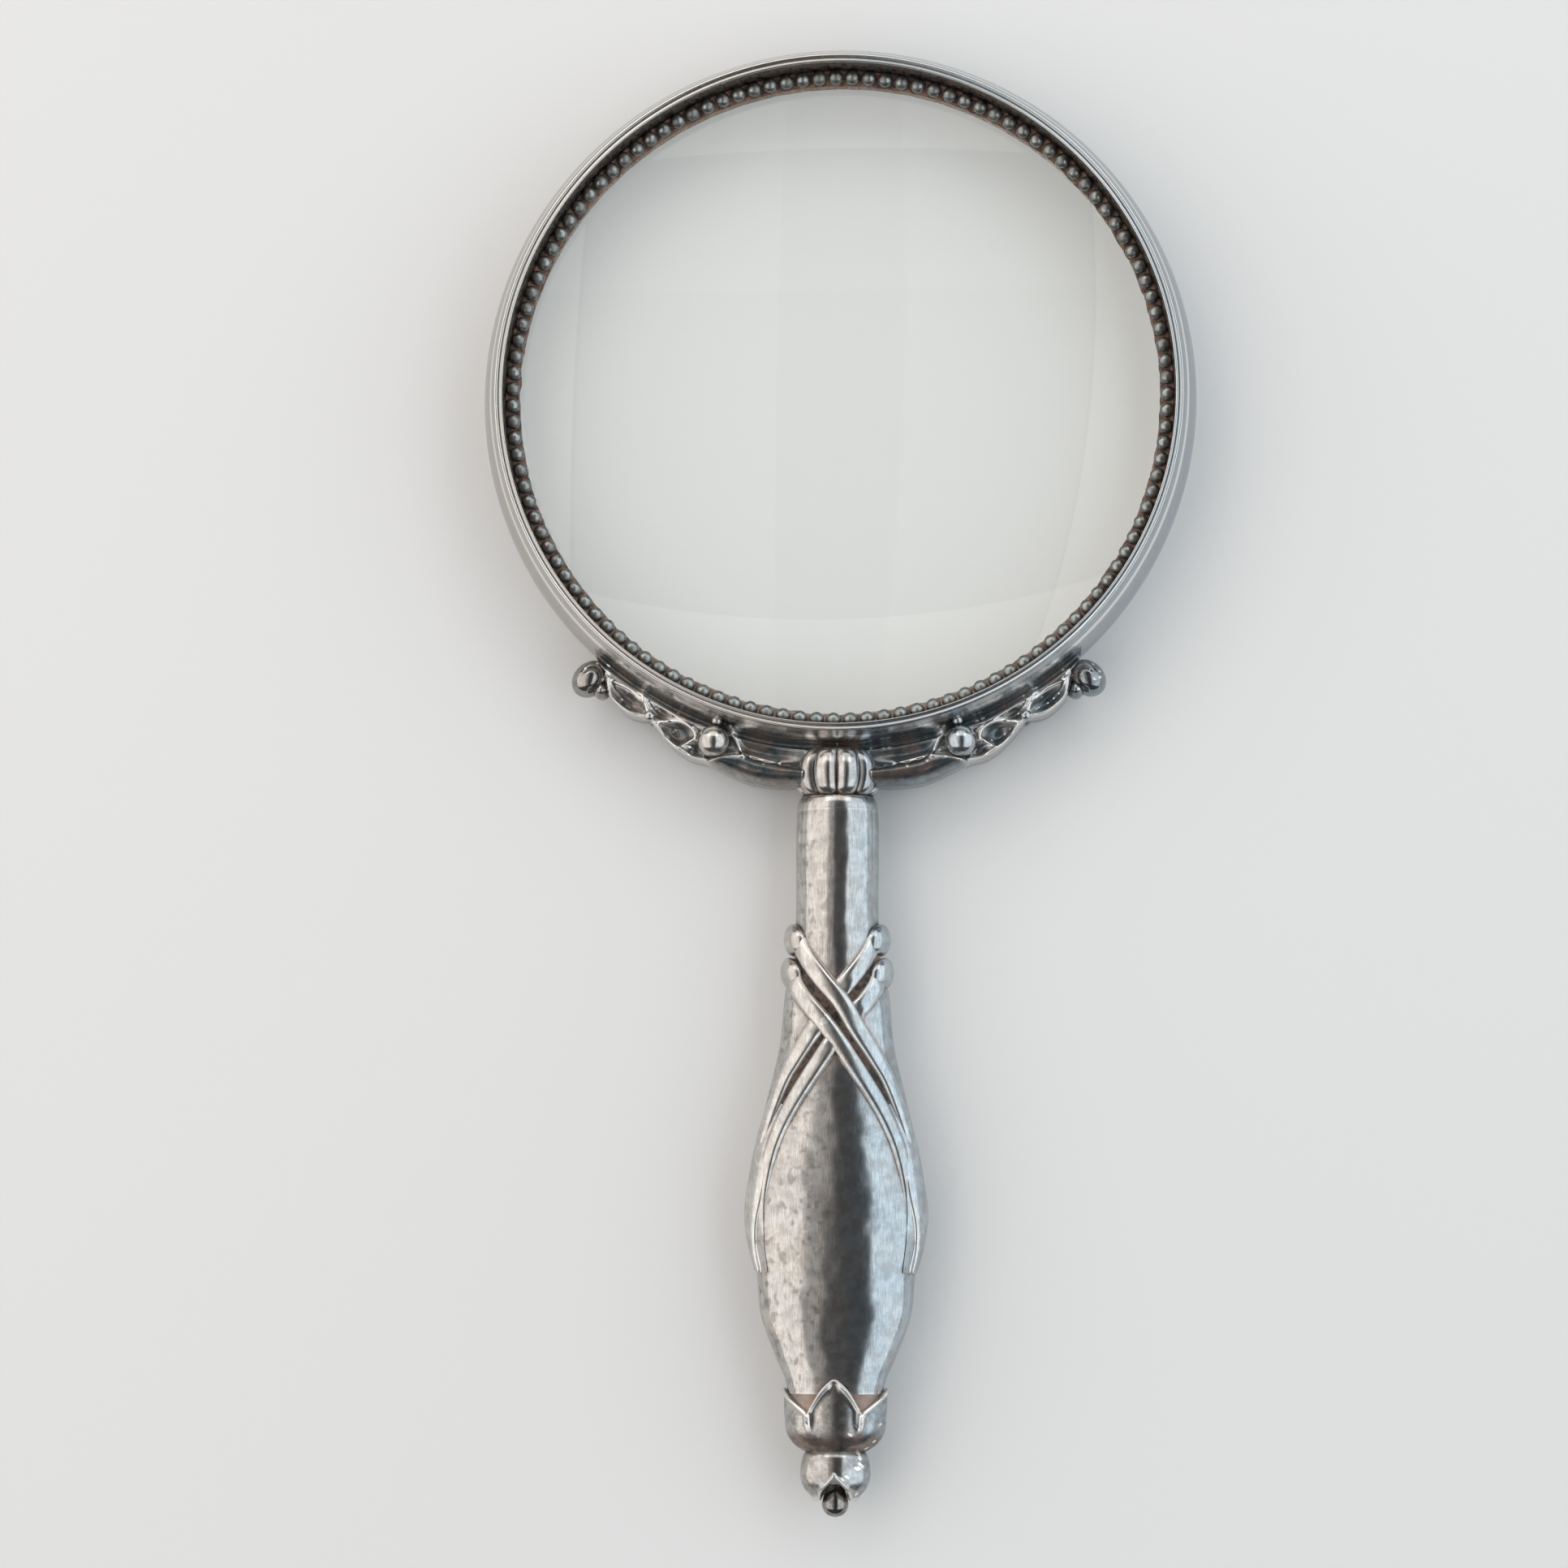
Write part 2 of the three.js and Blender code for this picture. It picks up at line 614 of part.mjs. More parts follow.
// ---------------------------------------------------------------- calyx and finial
// Stations of the calyx and the bud as [share of the length, half width, half depth].
const calyxStations = [[0, 6.85, 5], [0.5, 6.75, 5], [0.7, 6.3, 4.7], [0.85, 5.4, 4.1], [1, 4.2, 3.4]];
const budStations = [[0, 4.2, 3.4], [0.25, 4.45, 3.7], [0.55, 4.6, 3.8], [0.8, 4.1, 3.4], [1, 3.3, 2.7]];
const rodBore = rodRadius + fitGap;

function finialPiece(stations, start, length) {
  const placed = stations.map(([share, width, depth]) => [start + share * length, width, depth]);
  return boredBody(placed, rodBore, 20);
}

addPart('end_plate', boredBody([
  [plateStart, tailHalfWidth, tailHalfDepth],
  [plateEnd, tailHalfWidth, tailHalfDepth],
], rodBore, 20), 'silver');

addPart('calyx_cup', finialPiece(calyxStations, calyxStart, calyxLength), 'silver');
addPart('bud_finial', finialPiece(budStations, budStart, budLength), 'silver');

const tip = addPart('tip_bead', ellipsoid(tipRadii, 14, 10), 'silver');
tip.position.set(0, -tipCentre, 0);
addPart('finial_rod', rodBody(rodStart, budEnd - fitGap, rodRadius, 12), 'steel');

export default ringGroup;
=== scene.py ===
# %% [markdown]
# # A silver hand magnifier
# This notebook dresses a finished CAD model of an antique reading glass. The CAD model is the fixed frame: it
# says where every piece is and how large it is. Here each visible piece is made again with finer surfaces, and
# every piece gets a worn silver, glass, cork, pitch or steel finish. Lengths in Blender are metres, but the
# object is small, so the shapes are made "on the bench" in millimetres and moved into the frame at the end.

# %% Load the fixed frame
import math
import bmesh
import bpy
from mathutils import Matrix, Vector, noise


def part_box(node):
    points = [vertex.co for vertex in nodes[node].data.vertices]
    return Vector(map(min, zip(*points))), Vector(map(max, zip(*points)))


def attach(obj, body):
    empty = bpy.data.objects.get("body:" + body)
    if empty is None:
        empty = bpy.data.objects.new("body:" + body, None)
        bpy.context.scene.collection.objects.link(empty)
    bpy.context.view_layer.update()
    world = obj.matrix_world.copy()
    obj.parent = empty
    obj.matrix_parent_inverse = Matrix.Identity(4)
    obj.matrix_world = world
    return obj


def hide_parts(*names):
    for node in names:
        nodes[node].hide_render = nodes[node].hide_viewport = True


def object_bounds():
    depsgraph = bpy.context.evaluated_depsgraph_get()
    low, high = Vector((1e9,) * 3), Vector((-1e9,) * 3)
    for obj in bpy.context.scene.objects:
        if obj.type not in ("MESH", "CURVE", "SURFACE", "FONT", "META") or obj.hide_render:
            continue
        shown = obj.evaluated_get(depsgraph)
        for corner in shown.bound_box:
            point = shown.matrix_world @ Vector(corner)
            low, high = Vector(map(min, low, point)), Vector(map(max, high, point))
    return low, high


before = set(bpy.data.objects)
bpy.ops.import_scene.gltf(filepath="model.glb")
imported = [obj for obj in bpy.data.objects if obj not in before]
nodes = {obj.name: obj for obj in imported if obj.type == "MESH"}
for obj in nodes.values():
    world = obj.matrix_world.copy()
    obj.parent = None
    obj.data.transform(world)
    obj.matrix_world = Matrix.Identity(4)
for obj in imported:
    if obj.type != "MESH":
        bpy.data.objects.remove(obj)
cad_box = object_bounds()
print("pieces in the frame:", len(nodes))

# %% [markdown]
# ## The bench
# On the bench the middle of the lens is the origin, the handle points along -Y, and one unit is a millimetre. The
# places that shapes share are read from the boxes of the CAD pieces, so nothing has to be fitted by eye.

# %% Bench coordinates
MILLIMETRE = 0.001
lens_low, lens_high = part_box("lens")
band_low, band_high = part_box("rim_band")
ring_centre = Vector((
    (lens_low.x + lens_high.x) / 2, (lens_low.y + lens_high.y) / 2, (band_low.z + band_high.z) / 2,
))
bench_to_frame = Matrix.Translation(ring_centre) @ Matrix.Scale(MILLIMETRE, 4)


def bench_box(node):
    """Lowest and highest corner of a CAD piece, in bench millimetres."""
    return tuple((corner - ring_centre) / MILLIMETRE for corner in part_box(node))


def station(node, end):
    """Distance from the lens's middle along the handle to the near or the far end of a CAD piece."""
    low, high = bench_box(node)
    return -high.y if end == "near" else -low.y


def middle_station(node):
    return (station(node, "near") + station(node, "far")) / 2


lens_radius = bench_box("lens")[1].x
ring_radius = bench_box("rim_band")[1].x
ring_half = bench_box("front_rim_wire")[1].z
shell_start = station("handle_front_shell", "near")
shell_end = station("handle_front_shell", "far")
step_at = station("front_outer_over_strap", "far")
upper_knuckle = middle_station("left_upper_knuckle")
lower_knuckle = middle_station("left_lower_knuckle")
neck_end = station("left_upper_knuckle", "near")
belly_start = station("left_lower_knuckle", "far")
belly_half_width = bench_box("handle_front_shell")[1].x
belly_half_depth = bench_box("handle_front_shell")[1].z
widest_vertex = max(nodes["handle_front_shell"].data.vertices, key=lambda vertex: vertex.co.x)
belly_widest = (ring_centre.y - widest_vertex.co.y) / MILLIMETRE
print(f"ring {ring_radius:.2f} mm, handle {shell_start:.1f} to {shell_end:.1f} mm, widest at {belly_widest:.1f} mm")

# %% [markdown]
# ## Camera
# The camera looks down almost from straight above. An ordinary "track to" would turn the picture round when the
# view is this steep, so the camera's three axes are worked out: the back axis from two angles, and the other two
# by keeping the lens-to-handle line upright.

# %% Camera
VIEW_AZIMUTH = math.radians(22.3)
VIEW_ELEVATION = math.radians(82.3)
VIEW_ROLL = math.radians(0.3)
VIEW_DISTANCE = 0.5452
view_target = Vector((-0.00723, -0.00207, 0.006))

back = Vector((
    math.sin(VIEW_AZIMUTH) * math.cos(VIEW_ELEVATION), -math.cos(VIEW_AZIMUTH) * math.cos(VIEW_ELEVATION),
    math.sin(VIEW_ELEVATION),
))
right = Vector((0, 1, 0)).cross(back).normalized()
camera_axes = Matrix((right, back.cross(right), back)).transposed().to_4x4()
camera = bpy.data.objects.new("camera", bpy.data.cameras.new("camera"))
camera.data.lens = 93.2
camera.data.sensor_width = 36
camera.data.clip_start = 0.01
camera.matrix_world = (
    Matrix.Translation(view_target + back * VIEW_DISTANCE) @ camera_axes @ Matrix.Rotation(VIEW_ROLL, 4, "Z")
)
bpy.context.scene.collection.objects.link(camera)
bpy.context.scene.camera = camera
print("camera at", [round(x, 4) for x in camera.matrix_world.translation])

# %% [markdown]
# ## Light
# Silver shows its surroundings, so the light is really a picture for the metal to mirror. Two broad soft panels
# hang on the left and on the right and leave a dark gap over the handle: the gap becomes the dark line down the
# middle of the handle. A dim veil softens that edge of the gap, and a panel beyond the ring lights whatever faces
# away from the handle. A panel's power is worked out from the brightness that it should show and its area. A last
# light only evens out the table: it is switched off for glossy rays, so the silver doesn't mirror it.

# %% Soft panels


def soft_panel(name, corner_from, corner_to, length, brightness, colour, middle=0.0, turned_to_y=False):
    """A light panel facing the object. The corners are (sideways, up), or (lengthways, up) when turned to Y."""
    sideways, lengthways = Vector((1, 0, 0)), Vector((0, 1, 0))
    if turned_to_y:
        sideways, lengthways = lengthways, sideways
    start, end = (sideways * out + Vector((0, 0, up)) for out, up in (corner_from, corner_to))
    face = (end - start).cross(lengthways).normalized()
    if face.z > 0:
        face = -face
    light = bpy.data.lights.new(name, "AREA")
    light.shape = "RECTANGLE"
    light.size = (end - start).length
    light.size_y = length
    light.color = colour
    light.energy = brightness * math.pi * light.size * light.size_y
    panel = bpy.data.objects.new(name, light)
    axes = Matrix((lengthways.cross(-face).normalized(), lengthways, -face)).transposed().to_4x4()
    panel.matrix_world = Matrix.Translation((start + end) / 2 + lengthways * middle) @ axes
    bpy.context.scene.collection.objects.link(panel)
    print(f"{name}: {light.energy:.1f} W over {light.size:.2f} by {light.size_y:.2f} m")
    return panel


WARM_LIGHT = (1.0, 0.965, 0.925)
COOL_LIGHT = (0.90, 0.965, 1.0)
soft_panel("left_panel", (-0.25, 0.62), (-1.25, 0.07), 1.5, 1.3, WARM_LIGHT, middle=0.04)
soft_panel("left_veil", (-0.075, 0.63), (-0.25, 0.63), 1.5, 0.42, WARM_LIGHT, middle=0.04)
soft_panel("right_panel", (0.27, 0.62), (1.25, 0.07), 1.5, 1.3, COOL_LIGHT, middle=0.04)
soft_panel("far_panel", (0.42, 0.62), (1.0, 0.3), 0.9, 1.15, WARM_LIGHT, turned_to_y=True)
fill = soft_panel("overhead_fill", (-0.3, 0.7), (0.3, 0.7), 1.0, 0.3, (1, 1, 1), middle=-0.4)
fill.visible_glossy = False

# %% [markdown]
# ## Finishes
# All finishes are procedural. `add_node` adds a node, sets its options and joins or fills its inputs. A `Recipe` is
# a material being made, so that a finish reads from top to bottom. Patterns use Object coordinates in millimetres.

# %% Node helpers


def add_node(tree, kind, inputs=None, **options):
    """Adds a node; an input is a value, or another node's output to join to it."""
    made = tree.nodes.new(kind)
    for option, value in options.items():
        setattr(made, option, value)
    for socket, value in (inputs or {}).items():
        fill_input(tree, made.inputs[socket], value)
    return made


def fill_input(tree, socket, value):
    if isinstance(value, bpy.types.NodeSocket):
        tree.links.new(value, socket)
    else:
        socket.default_value = value


class Recipe:
    """A material being made: its node tree, its shader and its bench coordinates."""

    def __init__(self, name):
        self.material = bpy.data.materials.new(name)
        self.material.use_nodes = True
        self.tree = self.material.node_tree
        self.shader = self.tree.nodes["Principled BSDF"]
        self.bench = self.node("ShaderNodeMapping", {
            "Vector": self.node("ShaderNodeTexCoord").outputs["Object"],
            "Location": [-x / MILLIMETRE for x in ring_centre],
            "Scale": (1 / MILLIMETRE,) * 3,
        }).outputs["Vector"]
        print("finish", name)

    def node(self, kind, inputs=None, **options):
        return add_node(self.tree, kind, inputs, **options)

    def give(self, socket, value):
        """Fills an input of the shader."""
        fill_input(self.tree, self.shader.inputs[socket], value)

    def axis(self, letter):
        return self.node("ShaderNodeSeparateXYZ", {"Vector": self.bench}).outputs[letter]

    def painted(self, name):
        return self.node("ShaderNodeAttribute", attribute_name=name).outputs["Fac"]

    def cloud(self, scale, detail=3.0, roughness=0.55, stretch=None):
        vector = self.bench
        if stretch:
            vector = self.node("ShaderNodeMapping", {"Vector": vector, "Scale": stretch}).outputs["Vector"]
        inputs = {"Vector": vector, "Scale": scale, "Detail": detail, "Roughness": roughness}
        return self.node("ShaderNodeTexNoise", inputs).outputs["Fac"]

    def remap(self, value, low, high, to_low=0.0, to_high=1.0):
        """Stretches the part of a value between low and high softly over a new range."""
        inputs = {"Value": value, "From Min": low, "From Max": high, "To Min": to_low, "To Max": to_high}
        return self.node("ShaderNodeMapRange", inputs, interpolation_type="SMOOTHSTEP").outputs["Result"]

    def math(self, operation, first, second):
        return self.node("ShaderNodeMath", {0: first, 1: second}, operation=operation).outputs[0]

    def times(self, first, second):
        return self.math("MULTIPLY", first, second)

    def blend(self, share, first, second, mode="MIX"):
        """Mixes two colours; each is a colour of four numbers or another node's output."""
        inputs = {0: share, 6: first, 7: second}
        return self.node("ShaderNodeMix", inputs, data_type="RGBA", blend_type=mode).outputs[2]

    def bump(self, height, strength, distance):
        inputs = {"Height": height, "Strength": strength, "Distance": distance}
        self.give("Normal", self.node("ShaderNodeBump", inputs).outputs["Normal"])


# %% [markdown]
# The world behind the panels is dim, so that the metal keeps its darks. Only the camera, and what it sees through
# the glass, gets a pale backdrop: the Light Path node tells these rays from the others.

# %% World
world = bpy.data.worlds.new("studio")
bpy.context.scene.world = world
world.use_nodes = True
air = world.node_tree
surroundings = air.nodes["Background"]
surroundings.inputs["Color"].default_value = (0.95, 0.97, 1.0, 1)
surroundings.inputs["Strength"].default_value = 0.09
backdrop = add_node(air, "ShaderNodeBackground", {"Color": (0.8, 0.8, 0.8, 1)})
ray = add_node(air, "ShaderNodeLightPath").outputs
seen = add_node(air, "ShaderNodeMath", {0: ray["Is Camera Ray"], 1: ray["Is Transmission Ray"]}, operation="MAXIMUM")
chooser = add_node(air, "ShaderNodeMixShader", {
    "Fac": seen.outputs[0], 1: surroundings.outputs[0], 2: backdrop.outputs[0],
})
air.links.new(chooser.outputs[0], air.nodes["World Output"].inputs["Surface"])
bpy.context.scene.view_settings.view_transform = "Standard"
print("world ready")

# %% [markdown]
# ### Silver
# Old silver is never one grey. Its open faces are worn bright and change tone at random, and the colour is also
# painted
# warm on the left and cool on the right: a painted reflection of the warm and the cool panel. Sulphur blackens and
# browns whatever a polishing cloth can't reach, and edges that stand proud are rubbed to bare metal. One recipe
# serves every silver piece, with different amounts. The colour darkens where the Ambient Occlusion node finds a
# recess, and where a shape carries a painted dark value on its vertices: partly real tarnish, partly painted shade.
# Pointiness finds the edges that turn bright, and a painted bright value adds the raised lines that it misses:
# partly wear, partly painted highlight.

# %% Silver recipe
WARM_SILVER = (0.70, 0.655, 0.61, 1)
COOL_SILVER = (0.53, 0.60, 0.65, 1)
BRIGHT_SILVER = (0.92, 0.90, 0.87, 1)
HAMMER_SHADOW = (0.20, 0.19, 0.185, 1)
PATINA_AND_SHADE_BLACK = (0.022, 0.020, 0.022, 1)
COPPER_BROWN = (0.30, 0.185, 0.13, 1)


def silver_finish(name, tone=1.0, roughness=0.2, grain=(7.0, 0.45, 7.0), grain_share=0.3, spots=0.0,
                  recess=0.0012, recess_low=0.45, recess_high=0.92, edges=0.6, brown=0.5, blotches=0.15, patina_and_shade_colour=PATINA_AND_SHADE_BLACK):
    """Worn silver with painted shade and highlight. grain stretches the fine strokes, spots are hammer shadows,
    recess is how far the darkening in recesses reaches (partly patina, partly painted shade).
    """
    f = Recipe(name)
    across = f.axis("X")
    # Painted reflection: the colour turns warm on the left (bench X below -1 mm) and cool on the right (above 5 mm),
    # with a small random wander mixed in.
    wander = f.times(f.remap(f.cloud(0.3), 0.35, 0.65), 0.25)
    tone_and_reflection_hue = f.math("ADD", f.times(f.remap(across, -1.0, 5.0), 0.75), wander)
    patches = f.remap(f.cloud(0.6, 3.0, 0.6), 0.35, 0.65, tone * (1.0 - blotches), tone)
    strokes = f.cloud(1.0, 4.0, 0.7, grain)
    stroke_tone = f.times(f.remap(strokes, 0.3, 0.7, 1.0 - grain_share, 1.0), patches)
    body = f.blend(1.0, f.blend(tone_and_reflection_hue, WARM_SILVER, COOL_SILVER), stroke_tone, "MULTIPLY")
    if spots:
        blots = f.remap(f.cloud(0.95, 1.5, 0.5, (1.0, 0.8, 1.0)), 0.52, 0.70)
        body = f.blend(f.times(blots, f.times(f.remap(across, 1.5, -3.5), spots)), body, HAMMER_SHADOW)
    # Painted shade, partly real patina: recesses found by Ambient Occlusion, and vertices painted dark, blend to
    # near-black and copper brown.
    hidden = f.node("ShaderNodeAmbientOcclusion", {"Distance": recess}, samples=8).outputs["AO"]
    closed = f.math("SUBTRACT", 1.0, f.remap(hidden, recess_low, recess_high))
    patchy = f.remap(f.cloud(0.9, 3.0, 0.65), 0.3, 0.62, 0.6, 1.0)
    patina_and_shade_share = f.times(f.math("MAXIMUM", closed, f.painted("patina_and_shade")), patchy)
    browning = f.times(f.remap(f.cloud(0.33, 2.0), 0.42, 0.62), brown)
    body = f.blend(patina_and_shade_share, body, f.blend(browning, patina_and_shade_colour, COPPER_BROWN))
    # Painted highlight, partly real wear: edges found by Pointiness, and vertices painted bright, blend to bright
    # silver.
    bend = f.node("ShaderNodeNewGeometry").outputs["Pointiness"]
    wear_and_highlight_share = f.math("MAXIMUM", f.times(f.remap(bend, 0.515, 0.57), edges), f.painted("wear_and_highlight"))
    f.give("Base Color", f.blend(wear_and_highlight_share, body, BRIGHT_SILVER))
    rough = f.remap(strokes, 0.3, 0.7, roughness + 0.07, roughness - 0.04)
    f.give("Roughness", f.math("ADD", rough, f.times(patina_and_shade_share, 0.12)))
    f.give("Metallic", f.math("SUBTRACT", 1.0, f.times(patina_and_shade_share, 0.35)))
    f.bump(strokes, 0.3, 0.00001)
    return f.material


hammered_silver = silver_finish("hammered_silver", spots=0.6, roughness=0.16, edges=0.2, brown=0.7, blotches=0.25,
                                recess_low=0.6, recess_high=0.97)
strap_silver = silver_finish("strap_silver", tone=1.1, roughness=0.22, recess=0.0010, recess_low=0.5,
                             recess_high=0.96, edges=0.7, brown=0.7, blotches=0.25)
cast_silver = silver_finish("cast_silver", tone=0.66, roughness=0.14, recess=0.0016, grain=(1.6, 1.6, 1.6),
                            edges=0.8, brown=0.45, blotches=0.3, patina_and_shade_colour=(0.045, 0.066, 0.076, 1))
collar_silver = silver_finish("collar_silver", tone=0.92, roughness=0.18, recess=0.0009, grain=(3.0, 0.8, 3.0),
                              grain_share=0.2, edges=0.5, brown=0.9, blotches=0.25)
calyx_silver = silver_finish("calyx_silver", tone=0.9, grain=(1.6, 1.6, 1.6), recess=0.0010, edges=1.0, brown=0.7,
                             blotches=0.35)
collet_silver = silver_finish("collet_silver", tone=0.7, roughness=0.3, recess=0.0016, recess_low=0.6,
                              recess_high=1.0, brown=1.0, patina_and_shade_colour=(0.22, 0.155, 0.12, 1))
dark_bud_silver = silver_finish("dark_bud_silver", tone=0.55, roughness=0.1, grain=(2, 2, 2), recess=0.0018,
                                edges=0.2, brown=0.9, blotches=0.4)
ring_silver = silver_finish("ring_silver", tone=0.78, grain=(3.0, 3.0, 3.0), grain_share=0.06, recess=0.0004,
                            edges=0.8, brown=0.15, blotches=0.06)

# %% [markdown]
# ### Blackened silver
# Inside the ring nobody polishes. The beads are gunmetal dark, and the strip that they stand on shows copper-brown
# where the plating has gone. Beads and strip are painted paler towards the handle: a painted reflection of the light
# there.

# %% Blackened silver, bead ground and dark slit bed


def dark_finish(name, first, second, roughness, metallic=1.0, lit_end_colour=None):
    """Mottled dark metal made of two colours, painted paler towards the handle with a third colour when one is
    given: a painted reflection.
    """
    f = Recipe(name)
    mottle = f.remap(f.cloud(1.1, 4.0, 0.65), 0.38, 0.62)
    body = f.blend(mottle, first, second)
    # Painted reflection: paler towards the handle, where the metal mirrors the bright light.
    if lit_end_colour:
        lit_end_share = f.times(f.remap(f.axis("Y"), -20.0, -42.0), f.remap(mottle, 0.0, 1.0, 1.0, 0.5))
        body = f.blend(lit_end_share, body, lit_end_colour)
    f.give("Base Color", body)
    f.give("Roughness", f.remap(mottle, 0.0, 1.0, roughness, roughness + 0.2))
    f.give("Metallic", metallic)
    f.bump(f.cloud(6.0, 2.0), 0.3, 0.00003)
    return f.material


bead_silver = dark_finish("bead_silver", (0.36, 0.38, 0.37, 1), (0.27, 0.27, 0.26, 1), 0.3,
                          lit_end_colour=(0.38, 0.405, 0.39, 1))
bead_ground = dark_finish("bead_ground", (0.26, 0.15, 0.105, 1), (0.075, 0.048, 0.038, 1), 0.5, 0.3,
                          lit_end_colour=(0.42, 0.31, 0.245, 1))
well_silver = dark_finish("well_silver", (0.09, 0.07, 0.062, 1), (0.17, 0.135, 0.115, 1), 0.25)
dark_slit_bed = dark_finish("dark_slit_bed", (0.016, 0.014, 0.014, 1), (0.135, 0.085, 0.062, 1), 0.4, 0.4)

# %% [markdown]
# ### Glass
# The lens is clear crown glass with the faint green of an old pane. Cycles finds it hard to light a table through
# real glass, so the rays that light the table pass straight through: the Light Path node swaps the shader for a
# transparent one when a shadow ray or a diffuse ray arrives. Faint rub marks make the gloss uneven.

# %% Lens glass
glass = Recipe("lens_glass")
glass.give("Transmission Weight", 1.0)
glass.give("IOR", 1.5)
glass.give("Specular IOR Level", 0.05)
glass_tint = glass.remap(glass.cloud(0.05, 2.0), 0.3, 0.7)
glass.give("Base Color", glass.blend(glass_tint, (0.985, 1.0, 0.988, 1), (0.99, 1.0, 0.99, 1)))
rubs = glass.cloud(1.0, 4.0, 0.8, (0.4, 3.0, 1.0))
glass.give("Roughness", glass.remap(rubs, 0.62, 0.8, 0.0, 0.05))
shadow_pass = glass.node("ShaderNodeBsdfTransparent", {"Color": (0.98, 0.985, 0.98, 1)})
ray = glass.node("ShaderNodeLightPath").outputs
glass_mix = glass.node("ShaderNodeMixShader", {
    "Fac": glass.math("MAXIMUM", ray["Is Shadow Ray"], ray["Is Diffuse Ray"]),
    1: glass.shader.outputs[0], 2: shadow_pass.outputs[0],
})
glass.tree.links.new(glass_mix.outputs[0], glass.tree.nodes["Material Output"].inputs["Surface"])

# %% [markdown]
# ### Inner materials
# Cork, dark pitch and plain steel are almost never seen, but they are there when the model is taken apart.

# %% Cork, pitch and steel


def inner_finish(name, first, second, scale, roughness, metallic, depth):
    """A speckled material: two colours mixed by a cloud, with a bump of the same cloud."""
    f = Recipe(name)
    speckle = f.cloud(1.0, 5.0, 0.7, scale)
    f.give("Base Color", f.blend(f.remap(speckle, 0.35, 0.65), first, second))
    f.give("Roughness", f.remap(speckle, 0.3, 0.7, roughness - 0.1, roughness + 0.1))
    f.give("Metallic", metallic)
    f.bump(speckle, 0.5, depth)
    return f.material


packing_cork = inner_finish("packing_cork", (0.33, 0.2, 0.11, 1), (0.17, 0.09, 0.045, 1), (2, 2, 2), 0.85, 0, 0.0001)
handle_pitch = inner_finish("handle_pitch", (0.03, 0.02, 0.014, 1), (0.075, 0.045, 0.03, 1), (0.6, 0.6, 0.6), 0.6, 0,
                            0.0001)
core_steel = inner_finish("core_steel", (0.35, 0.35, 0.36, 1), (0.25, 0.245, 0.24, 1), (6, 0.4, 6), 0.38, 1, 0.00002)

# %% [markdown]
# ## Making pieces
# `loft` pushes a closed loop through a row of sections, as a sculptor would pull a ring of clay along a handle.
# `turned` spins a flat section round the lens axis, as a lathe does. `finish_piece` welds and turns the faces
# outwards, moves the shape into the frame and hides the CAD pieces that it stands for.

# %% Loft, lathe and finishing helpers
WELD_DISTANCE = 0.002
FACES = (("front", False), ("back", True))
SIDES = (("left", -1), ("right", 1))


def loft(bm, sections):
    """Extrudes a closed loop through equal sections of points and closes both ends."""
    ring = [bm.verts.new(point) for point in sections[0]]
    edges = [bm.edges.new((ring[i], ring[(i + 1) % len(ring)])) for i in range(len(ring))]
    bm.faces.new(ring)
    for section in sections[1:]:
        made = bmesh.ops.extrude_edge_only(bm, edges=edges)["geom"]
        new_verts = {item for item in made if isinstance(item, bmesh.types.BMVert)}
        following = []
        for vertex, point in zip(ring, section):
            partner = next(e.other_vert(vertex) for e in vertex.link_edges if e.other_vert(vertex) in new_verts)
            partner.co = point
            following.append(partner)
        ring = following
        edges = [bm.edges.get((ring[i], ring[(i + 1) % len(ring)])) for i in range(len(ring))]
    bm.faces.new(ring)


def turned(section, steps=240, closed=True):
    """Spins a section of (radius, height) points round the lens axis."""
    bm = bmesh.new()
    row = [bm.verts.new((radius, 0, height)) for radius, height in section]
    pairs = list(zip(row, row[1:])) + ([(row[-1], row[0])] if closed else [])
    edges = [bm.edges.new(pair) for pair in pairs]
    bmesh.ops.spin(bm, geom=row + edges, cent=(0, 0, 0), axis=(0, 0, 1), dvec=(0, 0, 0), angle=2 * math.pi,
                   steps=steps, use_merge=True, use_duplicate=False)
    return bm


def paint(bm, name, value_at):
    """Stores a value on every vertex, for the silver finish to read."""
    layer = bm.verts.layers.float.new(name)
    for vertex in bm.verts:
        vertex[layer] = value_at(vertex)


def finish_piece(bm, name, finish, stands_for=(), soft_angle=40):
    """Welds, faces outwards, moves into the frame, hangs the piece under the root and hides the CAD pieces it
    replaces.
    """
    bmesh.ops.remove_doubles(bm, verts=bm.verts, dist=WELD_DISTANCE)
    bmesh.ops.recalc_face_normals(bm, faces=bm.faces)
    bmesh.ops.transform(bm, matrix=bench_to_frame, verts=bm.verts)
    mesh = bpy.data.meshes.new(name)
    bm.to_mesh(mesh)
    bm.free()
    mesh.shade_smooth()
    mesh.set_sharp_from_angle(angle=math.radians(soft_angle))
    mesh.materials.append(finish)
    piece = bpy.data.objects.new(name, mesh)
    bpy.context.scene.collection.objects.link(piece)
    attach(piece, "root")
    if stands_for:
        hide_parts(*stands_for)
    print(f"{name}: {len(mesh.polygons)} faces")


def smooth_step(value):
    """0 below 0, 1 above 1, and a soft S between."""
    value = min(max(value, 0.0), 1.0)
    return value * value * (3 - 2 * value)


def bump_shape(distance, width):
    """A soft ridge: 1 at its middle, close to 0 at twice its width."""
    return math.exp(-((distance / width) ** 2))


